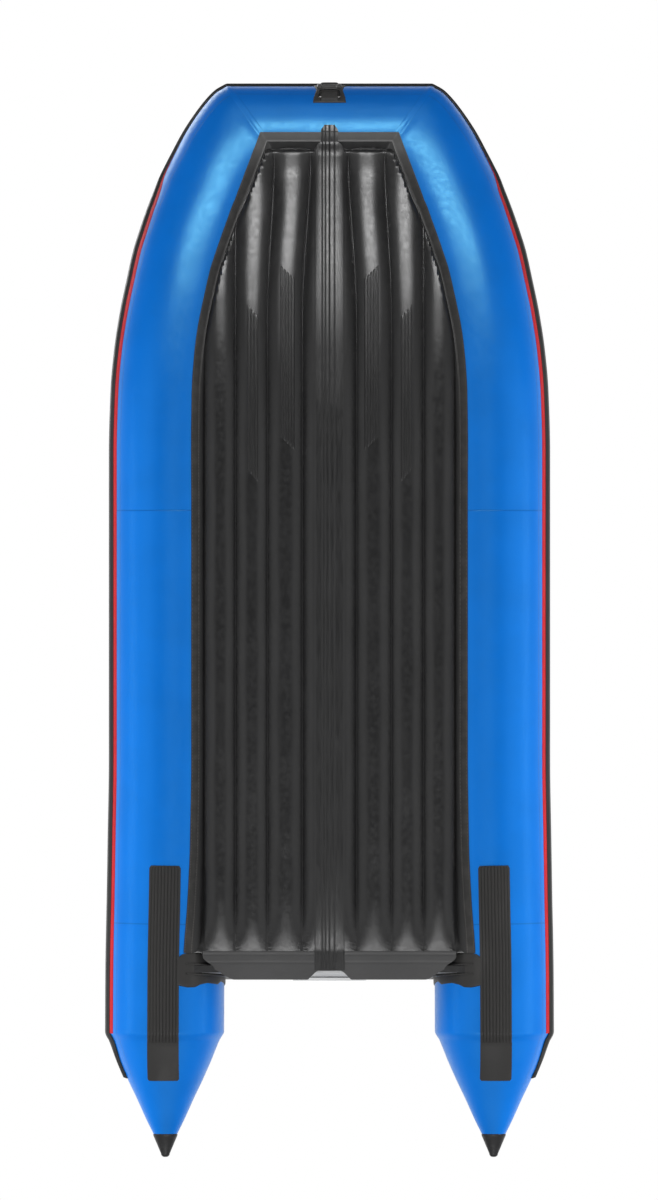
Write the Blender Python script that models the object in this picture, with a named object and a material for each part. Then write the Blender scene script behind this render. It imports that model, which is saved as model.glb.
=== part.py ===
"""An inflatable boat: three air chambers in a U, an air floor, a transom and the gear fixed to them.

The bow points to -Y, port is +X and +Z is up. The origin is on the ground below the middle of the
boat, which stands on its keel strip and on the two chafe strips under the tails. Lengths are in metres.
"""

import math

import bmesh
import bpy
import numpy as np
from mathutils import Matrix, Vector

# Whole boat
LENGTH = 3.80
HALF_BEAM = 0.7915
TUBE_RADIUS = 0.205
BOW_RISE = 0.28
RISE_START_SHARE = 0.345
RISE_POWER = 1.8

# Clearances and thin layers
GAP = 0.0004
FLOOR_GAP = 0.0006
RUNNING_GAP = 0.0005
MITRE_GAP = 0.0009

# Rings of the port side, from the bow mitre aft. Each has the share of the half beam and of the length
# where its centre lies, its angle in plan, its stretch across, its girth and the tape's angle.
HULL_RING_SHARES = (
    (0.2776, 0.0549, 54.8, 1.224, 1.0, -10.4),
    (0.3129, 0.0596, 54.1, 1.234, 1.0, -4.6),
    (0.3397, 0.0633, 53.4, 1.214, 1.0, -0.6),
    (0.3773, 0.0703, 50.5, 1.172, 1.0, 4.5),
    (0.4283, 0.0829, 41.6, 1.100, 1.0, 10.2),
    (0.4689, 0.0949, 32.3, 1.038, 1.0, 14.3),
    (0.5016, 0.1040, 24.0, 1.0, 1.0, 18.1),
    (0.5346, 0.1209, 22.0, 1.0, 1.0, 18.7),
    (0.5650, 0.1376, 20.0, 1.0, 1.0, 19.1),
    (0.5923, 0.1544, 17.5, 1.0, 1.0, 19.1),
    (0.6156, 0.1701, 15.0, 1.0, 1.0, 19.1),
    (0.6428, 0.1962, 12.5, 1.0, 1.0, 18.8),
    (0.6683, 0.2222, 10.5, 1.0, 1.0, 18.8),
    (0.6929, 0.2565, 7.5, 1.0, 1.0, 19.8),
    (0.7063, 0.2898, 4.0, 1.0, 1.0, 20.8),
    (0.7130, 0.3450, 0.0, 1.0, 1.0, 21.8),
    (0.7130, 0.4100, 0.0, 1.0, 1.0, 22.0),
    (0.7130, 0.5000, 0.0, 1.0, 1.0, 22.0),
    (0.7130, 0.5652, 0.0, 1.0, 1.0, 22.0),
    (0.7130, 0.6304, 0.5, 1.0, 1.0, 22.0),
    (0.7184, 0.7048, 0.9, 1.0, 1.0, 22.0),
    (0.7228, 0.7607, 0.9, 1.0, 1.0, 20.2),
    (0.7278, 0.8138, 0.5, 1.0, 1.0, 17.4),
    (0.7291, 0.8417, 0.0, 1.0, 1.0, 17.4),
    (0.7300, 0.8827, 0.0, 1.0, 1.0, 17.4),
    (0.7313, 0.8911, 0.0, 1.0, 0.926, 17.4),
    (0.7331, 0.9097, 0.0, 1.0, 0.793, 17.4),
    (0.7337, 0.9283, 0.0, 1.0, 0.643, 17.4),
    (0.7337, 0.9469, 0.0, 1.0, 0.479, 17.4),
    (0.7337, 0.9655, 0.0, 1.0, 0.324, 17.4),
    (0.7337, 0.9790, 0.0, 1.0, 0.200, 17.4),
)

# Places along the boat, as shares of its length from the bow
STRAKE_HIGH_SHARE = 0.072
STRAKE_LEVEL_SHARE = 0.123
CHAFE_FRONT_SHARE = 0.728
CHAFE_RIB_END_SHARE = 0.893
CHAFE_BACK_SHARE = 0.928
BAND_END_SHARE = 0.8845
RAIL_END_SHARE = 0.9265
TRANSOM_SHARE = 0.8240
FLAP_FRONT_SHARE = 0.7905
FLOOR_FADE_SHARES = (0.748, 0.7695, 0.787)

# Strips round the hull: angles are round the tube's section, from straight down, inboard positive
TAPE_WIDTH = 0.034
TAPE_THICKNESS = 0.0012
TAPE_EDGE_SHARE = 0.08
DECK_ANGLE = 58.0
STRAKE_RISE_ANGLE = 22.0
RAIL_WIDTH = 0.075
RAIL_HEIGHT = 0.0085
RAIL_EDGE_HEIGHT = 0.005
BAND_WIDTH = 0.164
BAND_THICKNESS = 0.0024
CHAFE_WIDTH = 0.111
CHAFE_ANGLE = -2.8
CHAFE_BASE = 0.0022
CHAFE_RIB_HEIGHT = 0.0014
CHAFE_RIB_COUNT = 10
CHAFE_LIFT = 0.0009
CHAFE_TAPE_ANGLE = 18.0
CONE_CLEAR_ANGLE = 3.0
BAFFLE_THICKNESS = 0.001
BAFFLE_INSET = 0.002

# Tail caps
CAP_LENGTH = 0.0795
CAP_LIP = 0.0015
CAP_END_RADIUS = 0.0155
CAP_ROUND = 0.012

# Floor mattress: creases from the centreline out, at mid length
CREASES = (0.094, 0.2175, 0.331, 0.4405)
CREASE_BOW_SHARES = (0.74, 0.93, 1.0, 1.0)
CREASE_BOW_RANGE_SHARES = (0.062, 0.20)
CENTRE_COLUMN_SHARES = (0.0, 0.282, 0.564, 0.80, 1.0)
WEAR_COLUMN_SHARES = ((0.235, 0.440, 0.643), (0.297, 0.477, 0.656), (0.27, 0.5, 0.73))
CENTRE_DEPTH = 0.030
CHANNEL_DEPTH = 0.024
CHANNEL_POWER = 2.6
DECK_CHANNEL_DEPTH = 0.016
BULGE_START = 0.14
COLUMN_STEP = 0.002

# Strips under the floor
KEEL_THICKNESS = 0.003
KEEL_LAP_ANGLE = 7.7
KEEL_LAP_LIFT = 0.0022
KEEL_END_SHARE = 0.825
WEAR_BASE = 0.0016
WEAR_RIB_HEIGHT = 0.0012
WEAR_INNER_RIB_COUNT = 5
WEAR_OUTER_RIB_COUNT = 4
WEAR_INNER_SHARES = (0.1695, 0.3315)
WEAR_OUTER_SHARES = (0.2058, 0.3613)

# Stern flap: how far its corners lie inboard of the tubes' middle lines, as shares of the tube's radius
FLAP_THICKNESS = 0.003
FLAP_SEAT_GAP = 0.0006
FLAP_FRONT_INSET_SHARE = 0.6070
FLAP_SIDE_INSET_SHARE = 0.6655
FLAP_SHOULDER_INSET_SHARE = 0.8362
FLAP_CORNER_INSET_SHARE = 0.9923
FLAP_NOTCH_HALF = 0.083
FLAP_NOTCH_TOP_HALF = 0.043
FLAP_SIDE_DROP = 0.088
FLAP_SHOULDER_DROP = 0.145
FLAP_LENGTH = 0.168
FLAP_NOTCH_DEPTH = 0.030

# Transom, its holders and its motor pads
TRANSOM_THICKNESS = 0.025
TRANSOM_RAKE = 5.0
TRANSOM_TOP = 0.405
TRANSOM_FOOT = 0.0275
TRANSOM_SHOULDER_RADIUS = 0.06
TRANSOM_CORNER_COUNT = 5
HOLDER_WIDTH = 0.106
HOLDER_THICKNESS = 0.004
HOLDER_LIP_THICKNESS = 0.008
HOLDER_LIP_HEIGHT = 0.026
HOLDER_START_COLUMN = -0.85
HOLDER_CLEAR = 0.004
PAD_OUTER_SIZE = (0.26, 0.004, 0.15)
PAD_INNER_SIZE = (0.22, 0.008, 0.13)
PAD_TOP_MARGIN = 0.012
PAD_BEVEL = 0.0015

# Scuppers
SCUPPER_SPREAD_SHARE = 0.6461
SCUPPER_HEIGHT = 0.155
SCUPPER_BORE_RADIUS = 0.013
SCUPPER_PIPE_RADIUS = 0.017
SCUPPER_FLANGE_RADIUS = 0.028
SCUPPER_FLANGE_THICKNESS = 0.004
SCUPPER_INNER_PROUD = 0.003
SCUPPER_FLAP_RADIUS = 0.021
SCUPPER_FLAP_THICKNESS = 0.003
SCUPPER_TAB_WIDTH = 0.016
SCUPPER_TAB_HEIGHT = 0.025

# Seats
RAIL_SHARES = (0.3475, 0.6290)
TRACK_HALF_COLUMN_SHARE = 0.30
TRACK_SLOT_SHARE = 0.10
TRACK_HEIGHT = 0.008
TRACK_FLOOR = 0.004
THWART_PLACES = (-0.36, 0.28)
THWART_OVERHANG = 0.0222
THWART_WIDTH = 0.22
THWART_THICKNESS = 0.018
THWART_RISE = 0.0207
THWART_BEVEL = 0.004
BRACKET_LENGTH = 0.14
BRACKET_HALF_WIDTH = 0.026
BRACKET_TONGUE_HALF = 0.0045
BRACKET_TONGUE_DEPTH = 0.0034

# Rowlocks
ROWLOCK_PLACE = -0.05
ROWLOCK_PAD_HALF = 0.080
ROWLOCK_PAD_COLUMN_STEPS = (0.1, 1, 2)
ROWLOCK_PAD_THICKNESS = 0.004
SOCKET_FLANGE_RADIUS = 0.029
SOCKET_FLANGE_THICKNESS = 0.005
SOCKET_RADIUS = 0.016
SOCKET_HEIGHT = 0.040
SOCKET_FLOOR = 0.004
PIN_RADIUS = 0.0075
FORK_INNER_RADIUS = 0.025
FORK_ARM = 0.009
FORK_ARM_RISE = 0.040
FORK_WIDTH = 0.018
FORK_NECK = 0.012
FORK_STEP_COUNT = 10

# Air valves
VALVE_FLANGE_RADIUS = 0.030
VALVE_FLANGE_THICKNESS = 0.003
VALVE_COLLAR_RADIUS = 0.021
VALVE_HEIGHT = 0.014
VALVE_BORE_RADIUS = 0.0135
VALVE_FLOOR = 0.0035
STEM_TRAVEL = 0.004
STEM_CLEAR = 0.0005
STEM_SINK = 0.0008
STEM_DIMPLE_RADIUS = 0.005
STEM_DIMPLE_DEPTH = 0.001
VALVE_CAP_RADIUS = 0.0225
VALVE_CAP_THICKNESS = 0.004
VALVE_TAB_REACH = 0.0285
VALVE_TAB_HALF = 0.005
SIDE_VALVE_SHARE = 0.665
BOW_VALVE_SHARE = 0.435
FLOOR_VALVE_SHARE = 0.70

# Carry handles
HANDLE_PLACES = (-0.44, 0.36)
HANDLE_LENGTH = 0.25
HANDLE_FOOT = 0.055
HANDLE_WIDTH = 0.032
HANDLE_THICKNESS = 0.007
HANDLE_RISE = 0.030
HANDLE_SHOULDER = 0.03

# Bow fitting
FITTING_HALF_SHARES = (1.0, 0.86, 0.80, 0.86, 0.97)
FITTING_COLUMN_STEPS = (0, 1, 2, 3, 3.75)
FITTING_HALF_WIDTH = 0.0585
FITTING_THICKNESS = 0.004
BRIDGE_HALF_WIDTH = 0.026
BRIDGE_LENGTH = 0.026
BRIDGE_HEIGHT = 0.013
BRIDGE_TAPER_SHARE = 0.78
TOW_RING_WIRE = 0.003
TOW_RING_HALF = 0.036
TOW_RING_REACH = 0.045
TOW_RING_LIFT = 0.0075
TOW_RING_CORNER = 0.018

# Colours
BLUE = (0.010, 0.150, 0.640)
BLACK = (0.020, 0.020, 0.021)
GREY_BLACK = (0.055, 0.053, 0.050)
RED = (0.60, 0.020, 0.030)
WOOD = (0.42, 0.27, 0.14)
ALUMINIUM = (0.62, 0.63, 0.64)
STEEL = (0.60, 0.60, 0.60)

# Columns round the section: how many steps lie between one named angle and the next
COLUMN_COUNTS = {"tape": 2, "floor_side": 3, "inside": 10, "band_top": 1, "rail": 2, "band_low": 1,
                 "flank": 4, "chafe": 3, "underside": 1}


def column(after):
    """Number of the column where the named stretch of the section starts."""
    names = list(COLUMN_COUNTS)
    return sum(COLUMN_COUNTS[name] for name in names[: names.index(after)])


TAPE_OUTER = column("tape")
TAPE_INNER = column("floor_side")
DECK_EDGE = column("inside")
BAND_TOP = column("band_top")
RAIL_TOP = column("rail")
RAIL_LOW = column("band_low")
BAND_LOW = column("flank")
CHAFE_OUTER = column("chafe")
CHAFE_INNER = column("underside")
COLUMNS = sum(COLUMN_COUNTS.values())
VALVE_COLUMN = DECK_EDGE + 4
TRACK_COLUMN = DECK_EDGE + 5
TOP_COLUMN = DECK_EDGE + 6
HANDLE_COLUMN = DECK_EDGE + 8

TUBE_BOTTOM = CHAFE_BASE + CHAFE_RIB_HEIGHT + CHAFE_LIFT
CREASE_LEVEL = CENTRE_DEPTH + KEEL_THICKNESS + GAP
BOW_Y = -LENGTH / 2


def along(share):
    """Y of a place given as a share of the length from the bow."""
    return LENGTH * (share - 0.5)


def smooth(low, high, value):
    """Smooth step from 0 at low to 1 at high."""
    t = min(max((value - low) / (high - low), 0.0), 1.0)
    return t * t * (3 - 2 * t)


def rise(y):
    """How far the hull has lifted off its level line at Y."""
    start = along(RISE_START_SHARE)
    front = along(HULL_RING_SHARES[0][1])
    return BOW_RISE * max((start - y) / (start - front), 0.0) ** RISE_POWER


# Scene and materials


def clear_scene():
    for item in list(bpy.data.objects):
        bpy.data.objects.remove(item, do_unlink=True)


def material(name, colour, roughness=0.5, metallic=0.0):
    made = bpy.data.materials.new(name)
    made.use_nodes = True
    shader = made.node_tree.nodes["Principled BSDF"]
    shader.inputs["Base Color"].default_value = (*colour, 1.0)
    shader.inputs["Roughness"].default_value = roughness
    shader.inputs["Metallic"].default_value = metallic
    return made


def add_object(name, mesh, made, round_angle=None):
    """Links a mesh as a named object, shaded smooth where its faces meet below round_angle degrees."""
    mesh.materials.append(made)
    item = bpy.data.objects.new(name, mesh)
    bpy.context.scene.collection.objects.link(item)
    if round_angle is not None:
        mesh.shade_smooth()
        mesh.set_sharp_from_angle(angle=math.radians(round_angle))
    return item


def finish(bm, name, made, round_angle=None):
    """Turns a bmesh with consistent outward faces into a named object."""
    bmesh.ops.recalc_face_normals(bm, faces=bm.faces)
    mesh = bpy.data.meshes.new(name)
    bm.to_mesh(mesh)
    bm.free()
    return add_object(name, mesh, made, round_angle)


def cutter(item):
    """Marks an object as a cutting tool only."""
    item.hide_render = True
    item.display_type = "WIRE"
    return item


# Surfaces made of rows and columns of points


class Skin:
    """A faceted surface: rows of points, with its normals. Rows and columns may be asked for in between."""

    def __init__(self, rows, wraps):
        self.rows = np.array(rows, float)
        self.wraps = wraps
        self.normals = self.find_normals()

    def find_normals(self):
        down = np.gradient(self.rows, axis=0)
        if self.wraps:
            across = np.roll(self.rows, -1, axis=1) - np.roll(self.rows, 1, axis=1)
        else:
            across = np.gradient(self.rows, axis=1)
        normals = np.cross(across, down)
        return normals / np.linalg.norm(normals, axis=2, keepdims=True)

    def mix(self, table, row, col):
        """Value of a table at a row and column that may lie between two others."""
        last_row = len(table) - 1
        r0 = int(min(max(math.floor(row), 0), last_row - 1))
        c0 = int(math.floor(col))
        size = table.shape[1]
        c1 = c0 + 1
        if self.wraps:
            c0, c1 = c0 % size, c1 % size
        else:
            c0 = min(max(c0, 0), size - 1)
            c1 = min(c0 + 1, size - 1)
        fr, fc = row - r0, col - math.floor(col)
        near = table[r0, c0] * (1 - fc) + table[r0, c1] * fc
        far = table[r0 + 1, c0] * (1 - fc) + table[r0 + 1, c1] * fc
        return near * (1 - fr) + far * fr

    def point(self, row, col, lift=0.0):
        normal = self.mix(self.normals, row, col)
        return self.mix(self.rows, row, col) + normal / np.linalg.norm(normal) * lift

    def row_at(self, y, col, first, last):
        """Row between first and last where a column reaches Y."""
        low, high = first, last
        for _ in range(50):
            middle = (low + high) / 2
            if self.mix(self.rows, middle, col)[1] < y:
                low = middle
            else:
                high = middle
        return (low + high) / 2


def quad(bm, a, b, c, d):
    """Two triangles that share the corner nearest the bow's middle, so that layers stay parallel."""
    corners = (a, b, c, d)
    first = min(range(4), key=lambda n: corners[n].co.y + abs(corners[n].co.x) / 2)
    a, b, c, d = corners[first:] + corners[:first]
    bm.faces.new((a, b, c))
    bm.faces.new((a, c, d))


def loft_rings(name, rings, made, round_angle=40):
    """Closes a stack of rings with flat ends."""
    bm = bmesh.new()
    loops = [[bm.verts.new(p) for p in ring] for ring in rings]
    for near, far in zip(loops, loops[1:]):
        for c in range(len(near)):
            n = (c + 1) % len(near)
            quad(bm, near[c], near[n], far[n], far[c])
    bm.faces.new(loops[0][::-1])
    bm.faces.new(loops[-1])
    return finish(bm, name, made, round_angle)


def plate(name, under, over, made, round_angle=40):
    """A closed layer between two grids of points that have the same rows and columns."""
    bm = bmesh.new()
    low = [[bm.verts.new(p) for p in row] for row in under]
    top = [[bm.verts.new(p) for p in row] for row in over]
    rows, cols = len(low), len(low[0])
    for r in range(rows - 1):
        for c in range(cols - 1):
            quad(bm, low[r][c], low[r][c + 1], low[r + 1][c + 1], low[r + 1][c])
            quad(bm, top[r][c], top[r][c + 1], top[r + 1][c + 1], top[r + 1][c])
    border = [(0, c) for c in range(cols)] + [(r, cols - 1) for r in range(1, rows)]
    border += [(rows - 1, c) for c in range(cols - 2, -1, -1)] + [(r, 0) for r in range(rows - 2, 0, -1)]
    for (r0, c0), (r1, c1) in zip(border, border[1:] + border[:1]):
        quad(bm, low[r0][c0], low[r1][c1], top[r1][c1], top[r0][c0])
    return finish(bm, name, made, round_angle)


def layer(name, skin, rows, cols, lift, heights, made, row_shares=None):
    """A strip on a skin, lifted off it, whose height is given for each column."""
    shares = row_shares or [1.0] * len(rows)
    under = [[skin.point(r, c, lift) for c in cols] for r in rows]
    over = [[skin.point(r, c, lift + h * s) for c, h in zip(cols, heights)] for r, s in zip(rows, shares)]
    return plate(name, under, over, made)


def between(first, last):
    """The two given rows and every whole row between them."""
    inner = [float(r) for r in range(math.floor(first) + 1, math.ceil(last))]
    return [first] + [r for r in inner if first < r < last] + [last]


def turned(name, profile, made, place, steps=24, round_angle=30):
    """Spins a closed profile of (radius, height) points round the Z of a placing matrix."""
    bm = bmesh.new()
    verts = [bm.verts.new((r, 0.0, h)) for r, h in profile]
    edges = [bm.edges.new((verts[n], verts[(n + 1) % len(verts)])) for n in range(len(verts))
             if not (profile[n][0] == 0.0 and profile[(n + 1) % len(verts)][0] == 0.0)]
    bmesh.ops.spin(bm, geom=verts + edges, cent=(0.0, 0.0, 0.0), axis=(0.0, 0.0, 1.0),
                   angle=math.tau, steps=steps, use_merge=True)
    bmesh.ops.remove_doubles(bm, verts=bm.verts, dist=GAP / 40)
    item = finish(bm, name, made, round_angle)
    item.matrix_world = place
    return item


def extruded(name, outline, vector, made, place=Matrix.Identity(4), round_angle=30):
    """Extrudes a closed outline of 3-D points along a vector."""
    bm = bmesh.new()
    face = bm.faces.new([bm.verts.new(p) for p in outline])
    moved = bmesh.ops.extrude_face_region(bm, geom=[face])
    bmesh.ops.translate(bm, verts=[v for v in moved["geom"] if isinstance(v, bmesh.types.BMVert)], vec=vector)
    item = finish(bm, name, made, round_angle)
    item.matrix_world = place
    return item


def frame_on(skin, row, col, lift=0.0):
    """A placing matrix in the middle of a facet: X runs aft along the hull, Z off the surface."""
    here = Vector(skin.point(row, col))
    corners = [Vector(skin.mix(skin.rows, row, c)) for c in (math.floor(col), math.floor(col) + 1)]
    aft = Vector(skin.mix(skin.rows, row + 0.1, col)) - Vector(skin.mix(skin.rows, row - 0.1, col))
    aft.normalize()
    out = (corners[1] - corners[0]).cross(aft).normalized()
    side = out.cross(aft)
    turn = Matrix((aft, side, out)).transposed().to_4x4()
    return Matrix.Translation(here + out * lift) @ turn


# Rings of the hull


def section_angles(tape, shift, girth):
    """Angles round one ring, one for each column, starting at the tape's outer edge."""
    radius = TUBE_RADIUS * girth
    chafe_half = math.degrees(math.asin(min(CHAFE_WIDTH / 2 / radius, 0.6)))
    chafe = min(CHAFE_ANGLE, tape - CHAFE_TAPE_ANGLE)
    tape = max(tape, chafe + chafe_half + CONE_CLEAR_ANGLE)
    strake = 270.0 - shift
    rail_half = math.degrees(min(RAIL_WIDTH / 2 / radius, 0.5))
    band_half = max(math.degrees(BAND_WIDTH / 2 / TUBE_RADIUS), rail_half + CONE_CLEAR_ANGLE)
    named = {
        "tape": tape,
        "floor_side": tape + math.degrees(TAPE_WIDTH / TUBE_RADIUS),
        "inside": DECK_ANGLE,
        "band_top": strake - band_half,
        "rail": strake - rail_half,
        "band_low": strake + rail_half,
        "flank": strake + band_half,
        "chafe": 360.0 + chafe - chafe_half,
        "underside": 360.0 + chafe + chafe_half,
    }
    starts = list(named.values()) + [360.0 + tape]
    angles = []
    for n, steps in enumerate(COLUMN_COUNTS.values()):
        angles += [starts[n] + (starts[n + 1] - starts[n]) * s / steps for s in range(steps)]
    return angles


def ring(centre, plan, half_width, half_height, angles):
    """Points of one upright elliptical ring. plan is the angle between its outward line and +X."""
    out = (math.cos(plan), -math.sin(plan))
    points = []
    for angle in map(math.radians, angles):
        reach = -half_width * math.sin(angle)
        points.append((centre[0] + out[0] * reach, centre[1] + out[1] * reach,
                       centre[2] - half_height * math.cos(angle)))
    return points


def port_rings():
    """Rings of the port tube, from the mitre aft. The first lies on the straight bow tube."""
    centres = [(HALF_BEAM * s[0], along(s[1])) for s in HULL_RING_SHARES]
    heights = [TUBE_BOTTOM + TUBE_RADIUS + rise(y) for _, y in centres]
    rings = []
    for n, (_, y_share, plan, stretch, girth, tape) in enumerate(HULL_RING_SHARES):
        plan = math.radians(plan)
        if n == 0:
            half_width, half_height = TUBE_RADIUS / math.sin(plan), TUBE_RADIUS
        else:
            a, b = n - 1, min(n + 1, len(centres) - 1)
            run = math.dist(centres[a], centres[b])
            slope = math.atan2(heights[a] - heights[b], run)
            half_width = TUBE_RADIUS * stretch * girth
            half_height = TUBE_RADIUS * girth / math.cos(slope)
        shift = STRAKE_RISE_ANGLE * (1 - smooth(STRAKE_HIGH_SHARE, STRAKE_LEVEL_SHARE, y_share))
        angles = section_angles(tape, shift, girth)
        rings.append(ring((*centres[n], heights[n]), plan, half_width, half_height, angles))
    return rings


def hull_skin():
    """The whole U: starboard rings from the tail forward, the bow's middle ring, port rings aft."""
    port = port_rings()
    starboard = [[(-x, y, z) for x, y, z in r] for r in port]
    middle = [(0.0, y, z) for _, y, z in port[0]]
    return Skin(starboard[::-1] + [middle] + port, wraps=True)


RING_COUNT = len(HULL_RING_SHARES)
BOW_ROW = RING_COUNT
PORT_FIRST = RING_COUNT + 1
PORT_LAST = 2 * RING_COUNT


def side_row(side, row):
    """Row of the hull skin on a side (+1 port, -1 starboard) for a port row."""
    return row if side > 0 else 2 * BOW_ROW - row


def side_name(side):
    return "port" if side > 0 else "starboard"


# Air chambers


def build_tubes(hull, made):
    nudge = MITRE_GAP / BAFFLE_CLEAR_RUN
    rows = [PORT_FIRST + nudge] + [float(r) for r in range(PORT_FIRST + 1, PORT_LAST + 1)]
    for side in (1, -1):
        rings = [[hull.mix(hull.rows, side_row(side, r), c) for c in range(COLUMNS)] for r in rows]
        loft_rings("side_tube_" + side_name(side), rings, made)
    rings = []
    back = MITRE_GAP / math.sin(math.radians(HULL_RING_SHARES[0][2]))
    for side in (-1, 1):
        mitre = hull.rows[side_row(side, PORT_FIRST)]
        rings.append([p - np.array((side * back, 0.0, 0.0)) for p in mitre])
    rings.insert(1, list(hull.rows[BOW_ROW]))
    loft_rings("bow_tube", rings, made)


def ring_run():
    """Least distance from the mitre plane to the next ring, on its inner side."""
    rings = port_rings()
    plan = math.radians(HULL_RING_SHARES[0][2])
    normal = np.array((math.sin(plan), math.cos(plan), 0.0))
    steps = [(np.array(b) - np.array(a)) @ normal for a, b in zip(rings[0], rings[1])]
    return min(steps)


BAFFLE_CLEAR_RUN = ring_run()


def build_baffles(hull, made):
    """The walls between the chambers: thin plates in the mitre planes."""
    plan = math.radians(HULL_RING_SHARES[0][2])
    for side in (1, -1):
        mitre = hull.rows[side_row(side, PORT_FIRST)]
        centre = mitre.mean(axis=0)
        reach = 1 - BAFFLE_INSET / TUBE_RADIUS
        half = np.array((side * math.sin(plan), math.cos(plan), 0.0)) * (BAFFLE_THICKNESS / 2)
        rings = [[centre + (p - centre) * reach + half * way for p in mitre] for way in (-1, 1)]
        loft_rings("chamber_baffle_" + side_name(side), rings, made)


def build_tail_caps(hull, made):
    for side in (1, -1):
        last = hull.rows[side_row(side, PORT_LAST)]
        centre = Vector(last.mean(axis=0))
        radius = TUBE_RADIUS * HULL_RING_SHARES[-1][4] + CAP_LIP
        profile = [(0.0, GAP), (radius, GAP), (radius, GAP + CAP_ROUND / 2)]
        for step in range(5):
            turn = math.radians(90 * step / 4)
            reach = CAP_END_RADIUS - CAP_ROUND * (1 - math.cos(turn))
            profile.append((reach, CAP_LENGTH - CAP_ROUND * (1 - math.sin(turn))))
        profile.append((0.0, CAP_LENGTH))
        place = Matrix.Translation(centre) @ Matrix.Rotation(math.radians(-90), 4, "X")
        turned("tail_cap_" + side_name(side), profile, made, place)


# Strips on the hull


def build_strake(hull, band_made, rail_made):
    """A red base band round the whole hull, and the black rail that takes the knocks on it."""
    for name, share, cols, lift, heights, made in (
        ("rub_strake_band", BAND_END_SHARE, range(BAND_TOP, BAND_LOW + 1), GAP,
         [BAND_THICKNESS] * (BAND_LOW - BAND_TOP + 1), band_made),
        ("rub_strake_rail", RAIL_END_SHARE, range(RAIL_TOP, RAIL_LOW + 1), 2 * GAP + BAND_THICKNESS,
         [RAIL_EDGE_HEIGHT, RAIL_HEIGHT, RAIL_EDGE_HEIGHT], rail_made),
    ):
        end = hull.row_at(along(share), RAIL_LOW, PORT_FIRST, PORT_LAST)
        layer(name, hull, between(side_row(-1, end), end), list(cols), lift, heights, made)


def build_floor_tape(hull, made):
    foot = along(TRANSOM_SHARE) - HOLDER_WIDTH / 2 - HOLDER_CLEAR
    end = hull.row_at(foot, TAPE_OUTER, PORT_FIRST, PORT_LAST)
    cols = list(range(TAPE_OUTER, TAPE_INNER)) + [TAPE_INNER - TAPE_EDGE_SHARE]
    layer("floor_tape", hull, between(side_row(-1, end), end), cols, GAP, [TAPE_THICKNESS] * len(cols), made)


def build_chafe_strips(hull, made):
    """Ribbed strips under the tails, on which the boat is dragged. They end in a plain tail."""
    count = 2 * CHAFE_RIB_COUNT + 1
    span = CHAFE_INNER - CHAFE_OUTER
    cols = [CHAFE_OUTER + span * n / (count - 1) for n in range(count)]
    ribs = [CHAFE_BASE + (CHAFE_RIB_HEIGHT if n % 2 else 0.0) for n in range(count)]
    middle = (CHAFE_OUTER + CHAFE_INNER) / 2
    front, rib_end, back = (hull.row_at(along(s), middle, PORT_FIRST, PORT_LAST)
                            for s in (CHAFE_FRONT_SHARE, CHAFE_RIB_END_SHARE, CHAFE_BACK_SHARE))
    for side in (1, -1):
        rows = between(front, rib_end) + between(rib_end, back)[1:]
        under = [[hull.point(side_row(side, r), c, CHAFE_LIFT) for c in cols] for r in rows]
        over = []
        for r in rows:
            heights = ribs if r < rib_end else [CHAFE_BASE] * count
            over.append([hull.point(side_row(side, r), c, CHAFE_LIFT + h) for c, h in zip(cols, heights)])
        plate("chafe_strip_" + side_name(side), under, over, made)


# Floor mattress


def floor_columns(half, bow_share):
    """Distances of the floor's columns from the centreline, squeezed inside half the floor's width."""
    creases = [c * (1 + (s - 1) * bow_share) for c, s in zip(CREASES, CREASE_BOW_SHARES)]
    places = [creases[0] * s for s in CENTRE_COLUMN_SHARES]
    for start, end, shares in zip(creases, creases[1:], WEAR_COLUMN_SHARES):
        places += [start + (end - start) * s for s in shares] + [end]
    places.append(half)
    count = len(places)
    return [min(p, half - COLUMN_STEP * (count - 1 - n)) for n, p in enumerate(places)]


CHANNEL_STARTS = [len(CENTRE_COLUMN_SHARES) - 1 + 4 * n for n in range(len(CREASES))]


def channel_swell(places, n):
    """How far column n swells out, as a share of its channel's full depth, and which channel it is in."""
    edges = [0] + CHANNEL_STARTS
    if n > edges[-1]:
        return 0.0, 0
    channel = max(k for k in range(len(CREASES)) if n >= edges[k])
    a, b = places[edges[channel]], places[edges[channel + 1]]
    if channel == 0:
        t, width, full = places[n] / b, b, CREASES[0]
    else:
        t, width = abs(2 * (places[n] - a) / (b - a) - 1), b - a
        full = CREASES[channel] - CREASES[channel - 1]
    return (1 - t ** CHANNEL_POWER) * min(width / full, 1.0), channel


def floor_rows(hull):
    """Rows of the hull that the floor follows, from the mitre to the transom."""
    foot = along(TRANSOM_SHARE) - HOLDER_WIDTH / 2 - HOLDER_CLEAR
    last = hull.row_at(foot, TAPE_INNER, PORT_FIRST, PORT_LAST)
    fades = [hull.row_at(along(s), TAPE_INNER, PORT_FIRST, PORT_LAST) for s in FLOOR_FADE_SHARES]
    return sorted(between(float(PORT_FIRST), last) + fades)


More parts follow.
